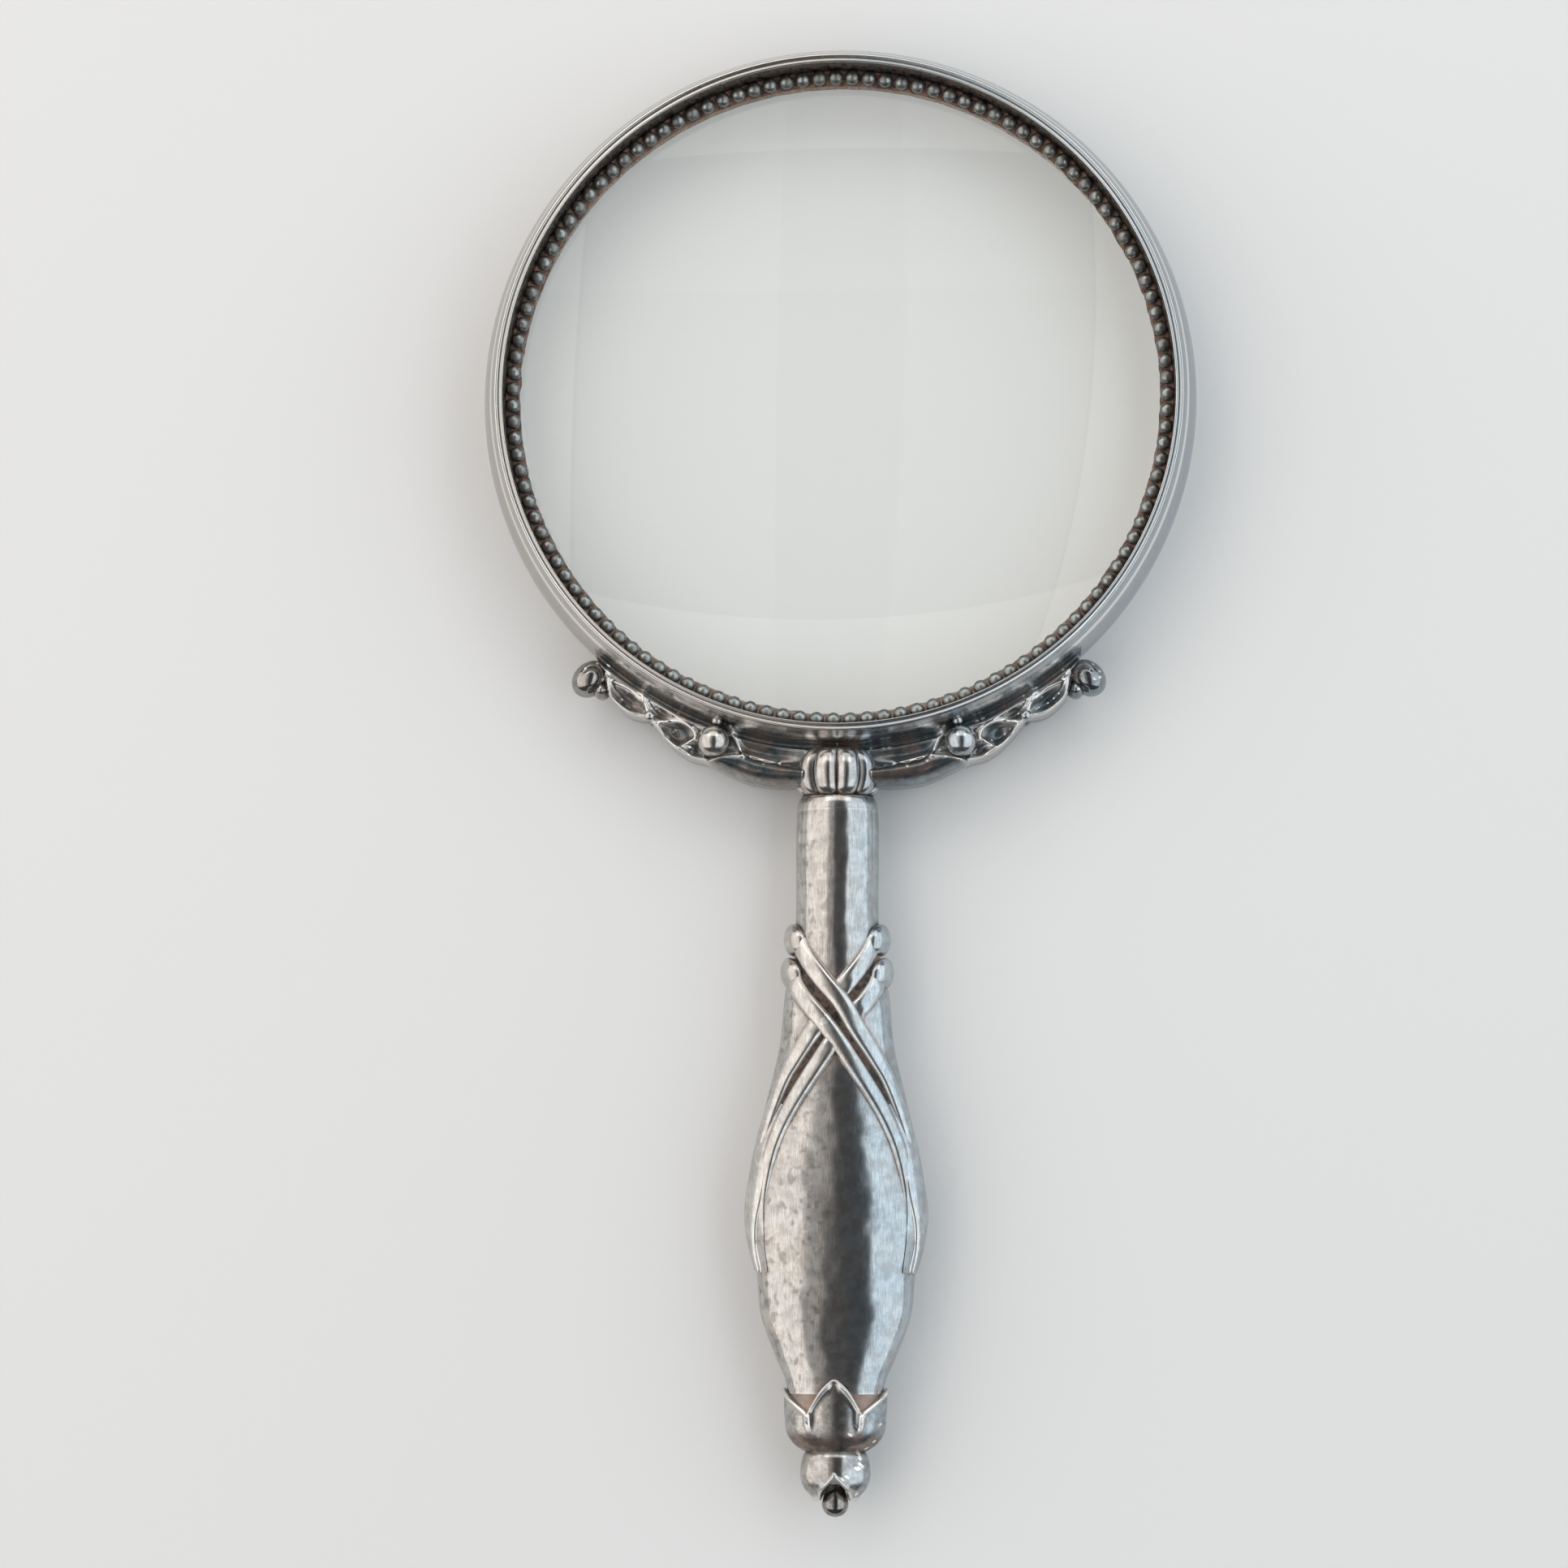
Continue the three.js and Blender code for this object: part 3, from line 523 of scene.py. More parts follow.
def smooth_curve(points):
    """A function that passes smoothly through (place, value) points."""
    slopes = []
    for i in range(len(points)):
        before, after = points[max(i - 1, 0)], points[min(i + 1, len(points) - 1)]
        slopes.append((after[1] - before[1]) / (after[0] - before[0]))

    def curve(place):
        if place <= points[0][0]:
            return points[0][1]
        if place >= points[-1][0]:
            return points[-1][1]
        i = next(k for k in range(len(points) - 1) if points[k + 1][0] >= place)
        span = points[i + 1][0] - points[i][0]
        t = (place - points[i][0]) / span
        rise = t * t * (3 - 2 * t)
        pull = t * (1 - t) ** 2 * span * slopes[i] - t * t * (1 - t) * span * slopes[i + 1]
        return points[i][1] * (1 - rise) + points[i + 1][1] * rise + pull

    return curve


def oval_point(place, half_width, half_depth, angle):
    return Vector((half_width * math.cos(angle), -place, half_depth * math.sin(angle)))


def oval_loop(place, half_width, half_depth, count):
    return [oval_point(place, half_width, half_depth, 2 * math.pi * i / count) for i in range(count)]


print("modelling helpers ready")

# %% [markdown]
# ## The lens
# A biconvex lens is two shallow arcs turned round one axis. The CAD disc has only a few facets, which would break
# up reflections, so the glass is spun again from an arc with many points.

# %% Lens
LENS_EDGE = 2.0
ARC_POINTS = 28
lens_bottom, lens_top = (corner.z for corner in bench_box("lens"))
lens_middle = (lens_top + lens_bottom) / 2
lens_crown = (lens_top - lens_bottom - LENS_EDGE) / 2
face_radius = (lens_radius ** 2 + lens_crown ** 2) / (2 * lens_crown)


def lens_face(radius):
    """Height of the front face above the lens's middle plane."""
    return LENS_EDGE / 2 + math.sqrt(face_radius ** 2 - radius ** 2) - (face_radius - lens_crown)


arc_radii = [lens_radius * i / ARC_POINTS for i in range(ARC_POINTS + 1)]
lens_section = [(radius, lens_middle + lens_face(radius)) for radius in arc_radii]
lens_section += [(radius, lens_middle - lens_face(radius)) for radius in reversed(arc_radii)]
finish_piece(turned(lens_section, 200, closed=False), "lens_glass_disc", glass.material, ["lens"],
             soft_angle=30)

# %% [markdown]
# ## The ring
# The band is a turned ring with a bulging outer wall. Its front edge is finished by a rim with two fine bright
# edges and a brushed land between them, and a well falls steeply from the inner edge to the beads. Each piece is
# one spun section. No edge is left quite sharp, because a real edge always catches a line of light.

# %% Band and rims
SEAT_WALL = 45.3
CREST_RADIUS = 46.2
WALL_ROUNDNESS = 1.75
BULGE_POINTS = 20
rim_base = bench_box("front_rim_wire")[0].z


def wall_radius(height):
    """Radius of the bulging outer wall at a height above or below the ring's middle."""
    share = 1 - (abs(height) / ring_half) ** WALL_ROUNDNESS
    return CREST_RADIUS + (ring_radius - CREST_RADIUS) * share


bulge_heights = [(2 * i / BULGE_POINTS - 1) * rim_base for i in range(BULGE_POINTS + 1)]
band_section = [(SEAT_WALL + 0.3, -rim_base)] + [(wall_radius(height), height) for height in bulge_heights]
band_section.append((SEAT_WALL + 0.3, rim_base))
finish_piece(turned(band_section), "band_wall", ring_silver, ["rim_band"])


def rim_section(side):
    """The finished edge: wall, rounded crest, brushed land with a slight dip, fine inner edge."""
    points = [(SEAT_WALL + 0.3, rim_base), (wall_radius(rim_base), rim_base)]
    points += [(wall_radius(ring_half - drop), ring_half - drop) for drop in (1.2, 0.9, 0.6, 0.35, 0.17)]
    points += [(CREST_RADIUS + out, ring_half - drop)
               for out, drop in ((0.12, 0.05), (0, 0), (-0.13, 0.05), (-0.22, 0.12))]
    points += [(SEAT_WALL + out, ring_half - drop)
               for out, drop in ((0.34, 0.14), (0.24, 0.08), (0.12, 0.06), (0.04, 0.13), (0.02, 0.4))]
    return [(radius, side * height) for radius, height in points]


for rim_name, side in (("front", 1), ("rear", -1)):
    finish_piece(turned(rim_section(side)), f"{rim_name}_rim", ring_silver,
                 [f"{rim_name}_rim_wire"], soft_angle=65)

# %% [markdown]
# ## The beaded border
# A strip of beaded wire holds the glass from the front. Over a hundred equal beads stand shoulder to shoulder, so
# each is a sphere of few faces that relies on smooth shading. The ground behind them is spun, and its free edge is
# shaken a little, because the cement that seals it to the glass is uneven. The wall of the well is a piece of its
# own, so that it can be dark.

# %% Well, ground and beads
BEAD_COUNT = 123
BEAD_RADIUS = 1.05
WELL_ROUNDING = 0.06
border_low, border_high = bench_box("front_bead_border")
border_base = border_low.z
bead_ring_radius = border_high.x - 0.62
bead_height = border_base + 0.85
ground_inner = -border_low.x - 1.35
well_bm = turned([
    (SEAT_WALL + 0.03, ring_half - 0.35), (SEAT_WALL - 0.02, ring_half - 1.2), (SEAT_WALL - 0.05, rim_base - 0.4),
    (SEAT_WALL - 0.12, bead_height + 0.2), (SEAT_WALL - 0.1, border_base), (SEAT_WALL + 0.5, border_base),
    (SEAT_WALL + 0.5, ring_half - 0.35),
])
sharp = [edge for edge in well_bm.edges
         if len(edge.link_faces) == 2 and edge.calc_face_angle(0) > math.radians(20)]
bmesh.ops.bevel(well_bm, geom=sharp, offset=WELL_ROUNDING, offset_type="OFFSET", segments=2, profile=0.5,
                affect="EDGES", clamp_overlap=True, material=-1)
finish_piece(well_bm, "ring_well", well_silver)

ground_bm = turned([
    (SEAT_WALL, bead_height + 0.25), (border_high.x - 0.2, bead_height - 0.15),
    (bead_ring_radius, border_base + 0.4), (ground_inner, border_base + 0.35),
    (ground_inner - 0.2, border_base - 0.15), (SEAT_WALL, border_base - 0.05),
], steps=300)
for vertex in ground_bm.verts:
    if vertex.co.xy.length < bead_ring_radius - 0.4:
        shake = noise.noise(vertex.co * 0.9) * 0.22 + noise.noise(vertex.co * 3.1) * 0.1
        vertex.co.xy += vertex.co.xy.normalized() * shake
finish_piece(ground_bm, "bead_ground_strip", bead_ground, ["front_bead_border"])

beads_bm = bmesh.new()
for i in range(BEAD_COUNT):
    turn = 2 * math.pi * i / BEAD_COUNT
    spot = Vector((bead_ring_radius * math.cos(turn), bead_ring_radius * math.sin(turn), bead_height))
    bmesh.ops.create_icosphere(beads_bm, subdivisions=2, radius=BEAD_RADIUS, matrix=Matrix.Translation(spot))
finish_piece(beads_bm, "bead_row", bead_silver, ["front_bead_border"], soft_angle=180)

# %% [markdown]
# ## The handle's outline
# Everything on the handle follows its skin, so the skin is one function: a place along the handle and an angle
# round it give a point. The half width and half depth are smooth curves through a few stations.

# %% Handle profile
WAIST_HALF_WIDTH = 6.85
WAIST_HALF_DEPTH = 4.7
STEP_HALF_WIDTH = 10.5
CAP_SHARE = 0.97
neck_half_width = bench_box("neck_cap")[1].x / CAP_SHARE
neck_half_depth = bench_box("neck_cap")[1].z / CAP_SHARE
tail_half_width, tail_half_depth = bench_box("end_plate")[1].x, bench_box("end_plate")[1].z
tail_length = shell_end - step_at


def belly_swell(waist, belly):
    """Stations that swell softly from the waist to the widest part of the belly."""
    return [(belly_start + share * (belly_widest - belly_start), waist + smooth_step(share) * (belly - waist))
            for share in (0.25, 0.5, 0.75, 1)]


half_width_at = smooth_curve([
    (shell_start, neck_half_width * 0.98), (shell_start + 3.8, neck_half_width), (neck_end, neck_half_width),
    (lower_knuckle, neck_half_width * 0.6 + WAIST_HALF_WIDTH * 0.4), (belly_start, WAIST_HALF_WIDTH),
    *belly_swell(WAIST_HALF_WIDTH, belly_half_width),
    (step_at, STEP_HALF_WIDTH), (step_at + tail_length * 0.4, 9.89), (step_at + tail_length * 0.8, 7.83),
    (shell_end, tail_half_width), (shell_end + 4.5, tail_half_width - 0.8),
])
half_depth_at = smooth_curve([
    (shell_start, neck_half_depth * 0.98), (shell_start + 3.8, neck_half_depth), (neck_end, WAIST_HALF_DEPTH),
    (belly_start, WAIST_HALF_DEPTH), *belly_swell(WAIST_HALF_DEPTH, belly_half_depth),
    (step_at, belly_half_depth * 0.94), (shell_end, tail_half_depth),
])
squareness_at = smooth_curve([(belly_start, 2.0), (belly_widest, 2.05), (step_at, 2.3), (shell_end, 2.9)])


def skin_point(place, degrees):
    """A point of the skin. The section is an oval that gets flatter on top, like a soft brick, towards the end."""
    across, deep = math.cos(math.radians(degrees)), math.sin(math.radians(degrees))
    power = 2 / squareness_at(place)
    return Vector((
        half_width_at(place) * math.copysign(abs(across) ** power, across), -place,
        half_depth_at(place) * math.copysign(abs(deep) ** power, deep),
    ))


def skin_out(place, degrees):
    """The direction straight out of the skin."""
    along = skin_point(place - 0.5, degrees) - skin_point(place + 0.5, degrees)
    around = skin_point(place, degrees + 0.5) - skin_point(place, degrees - 0.5)
    return along.cross(around).normalized()


print(f"half width: neck {half_width_at(neck_end):.2f}, belly {half_width_at(belly_widest):.2f},"
      f" step {half_width_at(step_at):.2f} mm")

# %% [markdown]
# ## Hammered shells
# The handle is two stamped halves that meet at the sides. Each was planished: hundreds of light blows leave
# shallow flats that make the long reflections wander. A grid is wrapped over half of the skin, every vertex is
# moved a few hundredths of a millimetre by soft noise, and then the sheet gets its wall.

# %% Hammered shells
SHELL_WALL = 1.0
SHELL_TAIL = 1.7
HAMMER_DEPTH = 0.038
HAMMER_SIZE = 1.9
shell_length = shell_end + SHELL_TAIL - shell_start


def hammer_mark(point):
    """Height of the beaten surface: soft hammer flats on a slower wander."""
    flats = noise.noise(point / HAMMER_SIZE)
    return HAMMER_DEPTH * flats + 0.10 * noise.noise(point / 6.5) + 0.005 * noise.noise(point / 0.9)


def side_crease(place, point):
    """A fine groove that sets off the soldered seam from the panel."""
    gap = half_width_at(place) - abs(point.x)
    fade = smooth_step((place - neck_end - 12) / 8) + smooth_step((neck_end - 3 - place) / 3)
    return -0.09 * bump_shape(gap - 0.65, 0.17) * min(fade, 1.0)


for face_name, face in (("front", 1), ("back", -1)):
    bm = bmesh.new()
    bmesh.ops.create_grid(bm, x_segments=250, y_segments=84, size=0.5)
    for vertex in bm.verts:
        place = shell_start + (vertex.co.x + 0.5) * shell_length
        degrees = (vertex.co.y + 0.5) * 180
        skin = skin_point(place, degrees)
        edge_fade = smooth_step(math.sin(math.radians(degrees)) * 3)
        relief = hammer_mark(skin + Vector((0, 0, face * 40))) * edge_fade + side_crease(place, skin)
        point = skin + skin_out(place, degrees) * relief
        vertex.co = Vector((point.x * face, point.y, max(point.z, 0.06) * face))
    bmesh.ops.recalc_face_normals(bm, faces=bm.faces)
    if sum(f.normal.z for f in bm.faces) * face < 0:
        bmesh.ops.reverse_faces(bm, faces=bm.faces)
    bmesh.ops.solidify(bm, geom=bm.faces, thickness=SHELL_WALL)
    finish_piece(bm, f"{face_name}_hammered_shell", hammered_silver,
                 [f"handle_{face_name}_shell"])

# %% [markdown]
# ## Straps and knuckles
# Two straps leave each side and cross on the front and on the back. They start as flat-topped strips and merge
# into a broad raised border that ends in a step. A strap is a loft whose small section rides on the skin along a
# route, given by how far it is on the way to the step and how far out it lies. The straps from the left lie on
# top; those from the right dip under them, so each is made of an upper and a lower part that sink out of sight.

# %% Strap routes


def strap_route(start, across):
    """A path over the skin from (share of the way to the step, share of the half width) points."""
    places = smooth_curve([(i, start + share * (step_at - start)) for i, (share, side) in enumerate(across)])
    angles = smooth_curve([(i, math.degrees(math.acos(side))) for i, (share, side) in enumerate(across)])
    last = len(across) - 1
    return lambda share: (places(share * last), angles(share * last))


OUTER_STRAP = strap_route(upper_knuckle + 0.6, [
    (0.0, -0.86), (0.155, -0.03), (0.26, 0.37), (0.355, 0.67), (0.435, 0.81), (0.6, 0.915), (0.8, 0.95),
    (1.0, 0.955),
])
INNER_STRAP = strap_route(lower_knuckle + 0.2, [
    (0.0, -0.90), (0.12, -0.42), (0.2, -0.06), (0.3, 0.28), (0.435, 0.60), (0.55, 0.745), (0.7, 0.83),
    (0.85, 0.87), (1.0, 0.88),
])


def middle_route(share):
    (outer_place, outer_turn), (inner_place, inner_turn) = OUTER_STRAP(share), INNER_STRAP(share)
    return (outer_place + inner_place) / 2, (outer_turn + inner_turn) / 2


print("outer strap crosses the middle at", round(OUTER_STRAP(1 / 7)[0], 1), "mm")

# %% Strap lofts
STRAP_WIDTH = 2.6
STRAP_THICKNESS = 0.78


def even_profile(points):
    """A section with equal sides, from the (out, up) points of its right side."""
    return [(-points[0][0], points[0][1])] + points + [(-out, up) for out, up in reversed(points[1:])]


STRAP_PROFILE = even_profile([(0.53, -0.6), (0.5, 0.1), (0.42, 0.62), (0.3, 0.88), (0.14, 0.97)])
BED_PROFILE = even_profile([(0.5, -0.5), (0.5, 1.0)])
BAND_PROFILE = even_profile([(0.5, -0.5), (0.5, 0.0), (0.44, 0.5), (0.32, 0.82), (0.15, 0.97)])


def lay_strap(curve, mirrored, turned_over, lift_at, start, end, steps, width=STRAP_WIDTH, profile=STRAP_PROFILE):
    """Lofts a section along a route over the skin."""
    sections = []
    for i in range(steps + 1):
        share = start + (end - start) * i / steps
        spots = [curve(share), curve(min(share + 0.002, 1.0)), curve(max(share - 0.002, 0.0))]
        if mirrored:
            spots = [(place, 180 - degrees) for place, degrees in spots]
        here, ahead, behind = (skin_point(*spot) for spot in spots)
        out = skin_out(*spots[0])
        across = out.cross((ahead - behind).normalized()).normalized()
        lift = lift_at(share)
        slimmed = width * (1 - 0.16 * smooth_step((share - 0.25) / 0.4) - 0.3 * smooth_step((share - 0.8) / 0.2))
        section = [here + across * (x * slimmed) + out * (z * lift) for x, z in profile]
        if turned_over:
            section = [Vector((-p.x, p.y, -p.z)) for p in section]
        sections.append(section)
    bm = bmesh.new()
    loft(bm, sections)
    return bm


def border_end(share, fade):
    """Straps flatten towards the step and end in a rounded toe."""
    toe = math.sqrt(max(1 - max((share - 0.93) / 0.07, 0) ** 2, 0.0))
    return (1 - fade * smooth_step((share - 0.62) / 0.3)) * (0.03 + 0.97 * toe)


def over_lift(fade):
    return lambda share: STRAP_THICKNESS * border_end(share, fade)


def upper_lift(end):
    return lambda share: STRAP_THICKNESS * (0.1 + 0.75 * smooth_step((end - share) / 0.05))


def lower_lift(start, fade):
    return lambda share: over_lift(fade)(share) * (0.45 + 0.55 * smooth_step((share - start) / 0.07))


STRAP_PARTS = {
    "outer_over_strap": (OUTER_STRAP, False, over_lift(0.75), 0.0, 1.0, 120),
    "inner_over_strap": (INNER_STRAP, False, over_lift(1.0), 0.0, 1.0, 120),
    "outer_under_strap_upper": (OUTER_STRAP, True, upper_lift(0.145), 0.0, 0.145, 30),
    "inner_under_strap_upper": (INNER_STRAP, True, upper_lift(0.155), 0.0, 0.155, 30),
    "outer_under_strap_lower": (OUTER_STRAP, True, lower_lift(0.255, 0.75), 0.255, 1.0, 100),
    "inner_under_strap_lower": (INNER_STRAP, True, lower_lift(0.255, 1.0), 0.255, 1.0, 100),
}
for face_name, turned_over in FACES:
    for strap_name, (curve, mirrored, lift, start, end, steps) in STRAP_PARTS.items():
        finish_piece(lay_strap(curve, mirrored, turned_over, lift, start, end, steps),
                     f"{face_name}_{strap_name}_wire", strap_silver, [f"{face_name}_{strap_name}"],
                     soft_angle=50)

# %% [markdown]
# A thin dark bed, near-black mottled with brown, fills the slit between each pair of straps: it is lofted half-way
# between the two routes. Over the belly each pair runs out into one broad border: a low rounded band rises between
# the straps along the same middle line and ends with them in a rounded step.

# %% Dark slit beds and border bands


def bed_lift(share):
    return 0.14


def band_lift(share):
    return 0.74 * smooth_step((share - 0.5) / 0.25) * border_end(share, 0.35)


def border_route(share):
    """The middle line, turned out to the handle's side at its end."""
    place, degrees = middle_route(share)
    return place, degrees * (1 - 0.6 * smooth_step((share - 0.78) / 0.22))


for face_name, turned_over in FACES:
    for bed_name, mirrored, start, end in (("over", False, 0.01, 0.6), ("upper", True, 0.02, 0.13),
                                           ("lower", True, 0.25, 0.6)):
        bed_bm = lay_strap(middle_route, mirrored, turned_over, bed_lift, start, end, 60, 2.6, BED_PROFILE)
        finish_piece(bed_bm, f"{face_name}_{bed_name}_dark_slit_bed", dark_slit_bed)

for face_name, turned_over in FACES:
    for band_name, mirrored, strap_name in (("over", False, "outer_over_strap"),
                                            ("under", True, "outer_under_strap_lower")):
        band_bm = lay_strap(border_route, mirrored, turned_over, band_lift, 0.5, 1.0, 70, 4.0, BAND_PROFILE)
        finish_piece(band_bm, f"{face_name}_{band_name}_border_band", strap_silver,
                     [f"{face_name}_{strap_name}"], soft_angle=50)

# %% [markdown]
# The knuckles are the smooth turns where the straps pass round the sides. Each is a short loft round the seam: its
# section swells quickly from the strap's end to a plump round and shrinks again.

# %% Knuckles
KNUCKLE_REACH = 44
KNUCKLE_STEPS = 44


def knuckle_section(place, degrees, share):
    """A half-round section that runs along the handle, swelling towards the seam."""
    swell = max(1 - abs(share) ** 3.2, 0.0) ** 0.6
    width = 0.5 + 3.8 * swell
    height = 0.1 + 1.42 * swell
    point, out = skin_point(place, degrees), skin_out(place, degrees)
    along = Vector((0, -1, 0))
    section = [point - out * 0.5 - along * width / 2, point - out * 0.5 + along * width / 2]
    for i in range(17):
        turn = math.pi * i / 16
        section.append(point + along * (math.cos(turn) * width / 2) + out * (math.sin(turn) ** 0.8 * height))
    return section


for side_name, seam in (("left", 180), ("right", 0)):
    for level_name, place in (("upper", upper_knuckle), ("lower", lower_knuckle)):
        shares = [2 * i / KNUCKLE_STEPS - 1 for i in range(KNUCKLE_STEPS + 1)]
        knuckle_bm = bmesh.new()
        loft(knuckle_bm, [knuckle_section(place + 0.5 * share ** 2, seam + share * KNUCKLE_REACH, share)
                          for share in shares])
        finish_piece(knuckle_bm, f"{side_name}_{level_name}_turn", strap_silver,
                     [f"{side_name}_{level_name}_knuckle"], soft_angle=60)

# %% [markdown]
# ## Collar and neck cap
# Between the ring and the handle sits a small melon: ten round lobes with dark creases between them. One loop of
# the loft is an oval whose radius drops in a crease between every two lobes; the loops swell and shrink along the
# handle. The cap below it is a plain domed washer.

# %% Collar
COLLAR_LOBES = 10
LOBE_POINTS = 14
COLLAR_REACH_BACK = 0.35
collar_start, collar_end = station("collar", "near"), station("collar", "far")
collar_half_width, collar_half_depth = bench_box("collar")[1].x, bench_box("collar")[1].z
collar_swell = smooth_curve([(0, 0.72), (0.1, 0.86), (0.3, 0.97), (0.55, 1.0), (0.8, 0.93), (0.93, 0.84), (1, 0.74)])


def melon_loop(share):
    place = collar_start - COLLAR_REACH_BACK + share * (collar_end - collar_start + COLLAR_REACH_BACK)
    loop = []
    for i in range(COLLAR_LOBES * LOBE_POINTS):
        across = 2 * (i % LOBE_POINTS) / LOBE_POINTS - 1
        reach = collar_swell(share) * (1.0 - 0.15 * abs(across) ** 2.7)
        angle = 2 * math.pi * (i / (COLLAR_LOBES * LOBE_POINTS) + 0.25)
        loop.append(oval_point(place, reach * collar_half_width, reach * collar_half_depth, angle))
    return loop


collar_bm = bmesh.new()
loft(collar_bm, [melon_loop(i / 26) for i in range(27)])
finish_piece(collar_bm, "melon_collar", collar_silver, ["collar"], soft_angle=55)

cap_start = station("neck_cap", "near") - 0.4
cap_bm = bmesh.new()
cap_loops = []
for i in range(13):
    share = i / 12
    swell = 0.84 + 0.135 * math.sin(share * math.pi / 2) ** 0.5
    cap_loops.append(oval_loop(cap_start + share * (shell_start - cap_start), neck_half_width * swell,
                               neck_half_depth * swell, 96))
loft(cap_bm, cap_loops)
finish_piece(cap_bm, "domed_cap", hammered_silver, ["neck_cap"])

# %% [markdown]
# ## Calyx, bud and end bead
# The handle ends in a flower: a cup of four petals with fine raised borders, a bud whose coat opens in a V on the
# front and on the back, and a dark bead in the opening. The cup is a loft from its foot to its rim, where the rim
# rises and falls with the angle so that it draws the petals. Its vertices are lifted near the petals' edges,
# which makes the raised borders. The wall is closed by a last loop inside.

# %% Petal cup
CUP_AROUND = 200
CUP_ALONG = 64
NOTCH_ANGLE = 60
calyx_start, calyx_end = station("calyx_cup", "near"), station("calyx_cup", "far")
NOTCH_PLACE = calyx_start + 3.0
FRONT_TIP = calyx_start - 1.45
SIDE_TIP = calyx_start - 0.25


def oval_curves(rows):
    """Smooth half width and half depth through (place, half width, half depth) rows."""
    return smooth_curve([row[:2] for row in rows]), smooth_curve([row[::2] for row in rows])


cup_width, cup_depth = oval_curves([
    (calyx_start - 1.6, 6.55, 4.9), (calyx_start, 6.95, 5.15), (calyx_start + 4.4, 6.78, 5.05),
    (calyx_start + 5.8, 6.36, 4.75), (calyx_start + 7.1, 5.45, 4.1), (calyx_end, 4.15, 3.2),
])


def petal_share(degrees):
    """How far round from the middle of its petal an angle is, 0 to 1, and whether it is a front or back petal."""
    folded = degrees % 180
    folded = min(folded, 180 - folded)
    if folded > NOTCH_ANGLE:
        return (90 - folded) / (90 - NOTCH_ANGLE), True
    return folded / NOTCH_ANGLE, False


def petal_rim(degrees):
    share, broad = petal_share(degrees)
    tip = FRONT_TIP if broad else SIDE_TIP
    return tip + (NOTCH_PLACE - tip) * share ** 1.6


def petal_relief(place, degrees):
    """Height of the raised border and of the hollow inside it, and how near the border is."""
    share, broad = petal_share(degrees)
    seam_gap = (1 - share) * (3.4 if broad else 5.2)
    rim_gap = (place - petal_rim(degrees)) * (0.62 if share > 0.15 else 0.9)
    seam_fade = smooth_step((calyx_end - 1.9 - place) / 2.4)
    border = max(bump_shape(rim_gap - 0.2, 0.24), bump_shape(seam_gap - 0.22, 0.22) * seam_fade)
    between = bump_shape(seam_gap, 0.08) * seam_fade
    inside = smooth_step(min(rim_gap, seam_gap) / 1.2) * seam_fade
    return 0.26 * border - 0.16 * inside - 0.12 * between, border


def cup_loop(share, inset=0.0):
    loop = []
    for i in range(CUP_AROUND):
        degrees = 360 * i / CUP_AROUND
        place = calyx_end + (petal_rim(degrees) - calyx_end) * share
        relief = petal_relief(place, degrees)[0] - inset
        loop.append(oval_point(place, cup_width(place) + relief, cup_depth(place) + relief, math.radians(degrees)))
    return loop


def cup_border(vertex):
    place = -vertex.co.y
    degrees = math.degrees(math.atan2(vertex.co.z / cup_depth(place), vertex.co.x / cup_width(place))) % 360
    return 0.75 * petal_relief(place, degrees)[1]


cup_inside = [Vector((p.x * 0.72, -(calyx_start + 1.4), p.z * 0.72)) for p in cup_loop(1.0, 0.4)]
cup_bm = bmesh.new()
loft(cup_bm, [oval_loop(calyx_end, 1.2, 1.2, CUP_AROUND)] + [cup_loop(i / CUP_ALONG) for i in range(CUP_ALONG + 1)]
     + [cup_loop(1.0, 0.42), cup_inside])
# Painted shade: the cup turns dark over its last few millimetres towards the foot.
paint(cup_bm, "patina_and_shade", lambda vertex: 0.85 * smooth_step((-vertex.co.y - calyx_end + 3.2) / 1.6))
# Painted highlight, partly wear: the petals' raised borders are painted bright.
paint(cup_bm, "wear_and_highlight", cup_border)
finish_piece(cup_bm, "petal_cup", calyx_silver, ["calyx_cup"], soft_angle=60)

# %% [markdown]
# Between the petals' tips a collet shows: a short, browned sleeve that closes the shells and that the cup sits on.

# %% Collet
COLLET_ROWS = (
    (shell_end + 0.3, 0.95), (shell_end + 0.9, 0.985), (calyx_start + 0.6, 0.985), (calyx_start + 1.8, 0.98),
    (calyx_start + 2.6, 0.97), (calyx_start + 4.2, 0.9),
)
collet_bm = bmesh.new()
loft(collet_bm, [
    [Vector((p.x * share, p.y, p.z * share)) for p in (skin_point(place, 360 * i / 96) for i in range(96))]
    for place, share in COLLET_ROWS
])
paint(collet_bm, "patina_and_shade", lambda vertex: 0.85 * smooth_step((-vertex.co.y - calyx_start + 1.4) / 2.0))
finish_piece(collet_bm, "petal_collet", collet_silver, ["end_plate"])

# %% Bud and end bead
BUD_AROUND = 160
BUD_ALONG = 44
bud_start, bud_end = station("bud_finial", "near"), station("bud_finial", "far")
bud_width, bud_depth = oval_curves([
    (bud_start - 0.3, 3.9, 3.2), (bud_start + 0.5, 4.35, 3.6), (bud_start + 3.0, 4.62, 3.85),
    (bud_start + 4.6, 4.05, 3.4), (bud_start + 5.9, 2.9, 2.5), (bud_end + 1.6, 2.2, 1.9),
])


def bud_edge(degrees):
    """Where the bud's coat ends: early on the front and the back, late at the sides."""
    folded = abs((degrees % 180) - 90) / 90
    return bud_start + 2.85 + 3.2 * min(folded / 0.56, 1.0) ** 0.72 + 0.35 * max(folded - 0.56, 0.0)


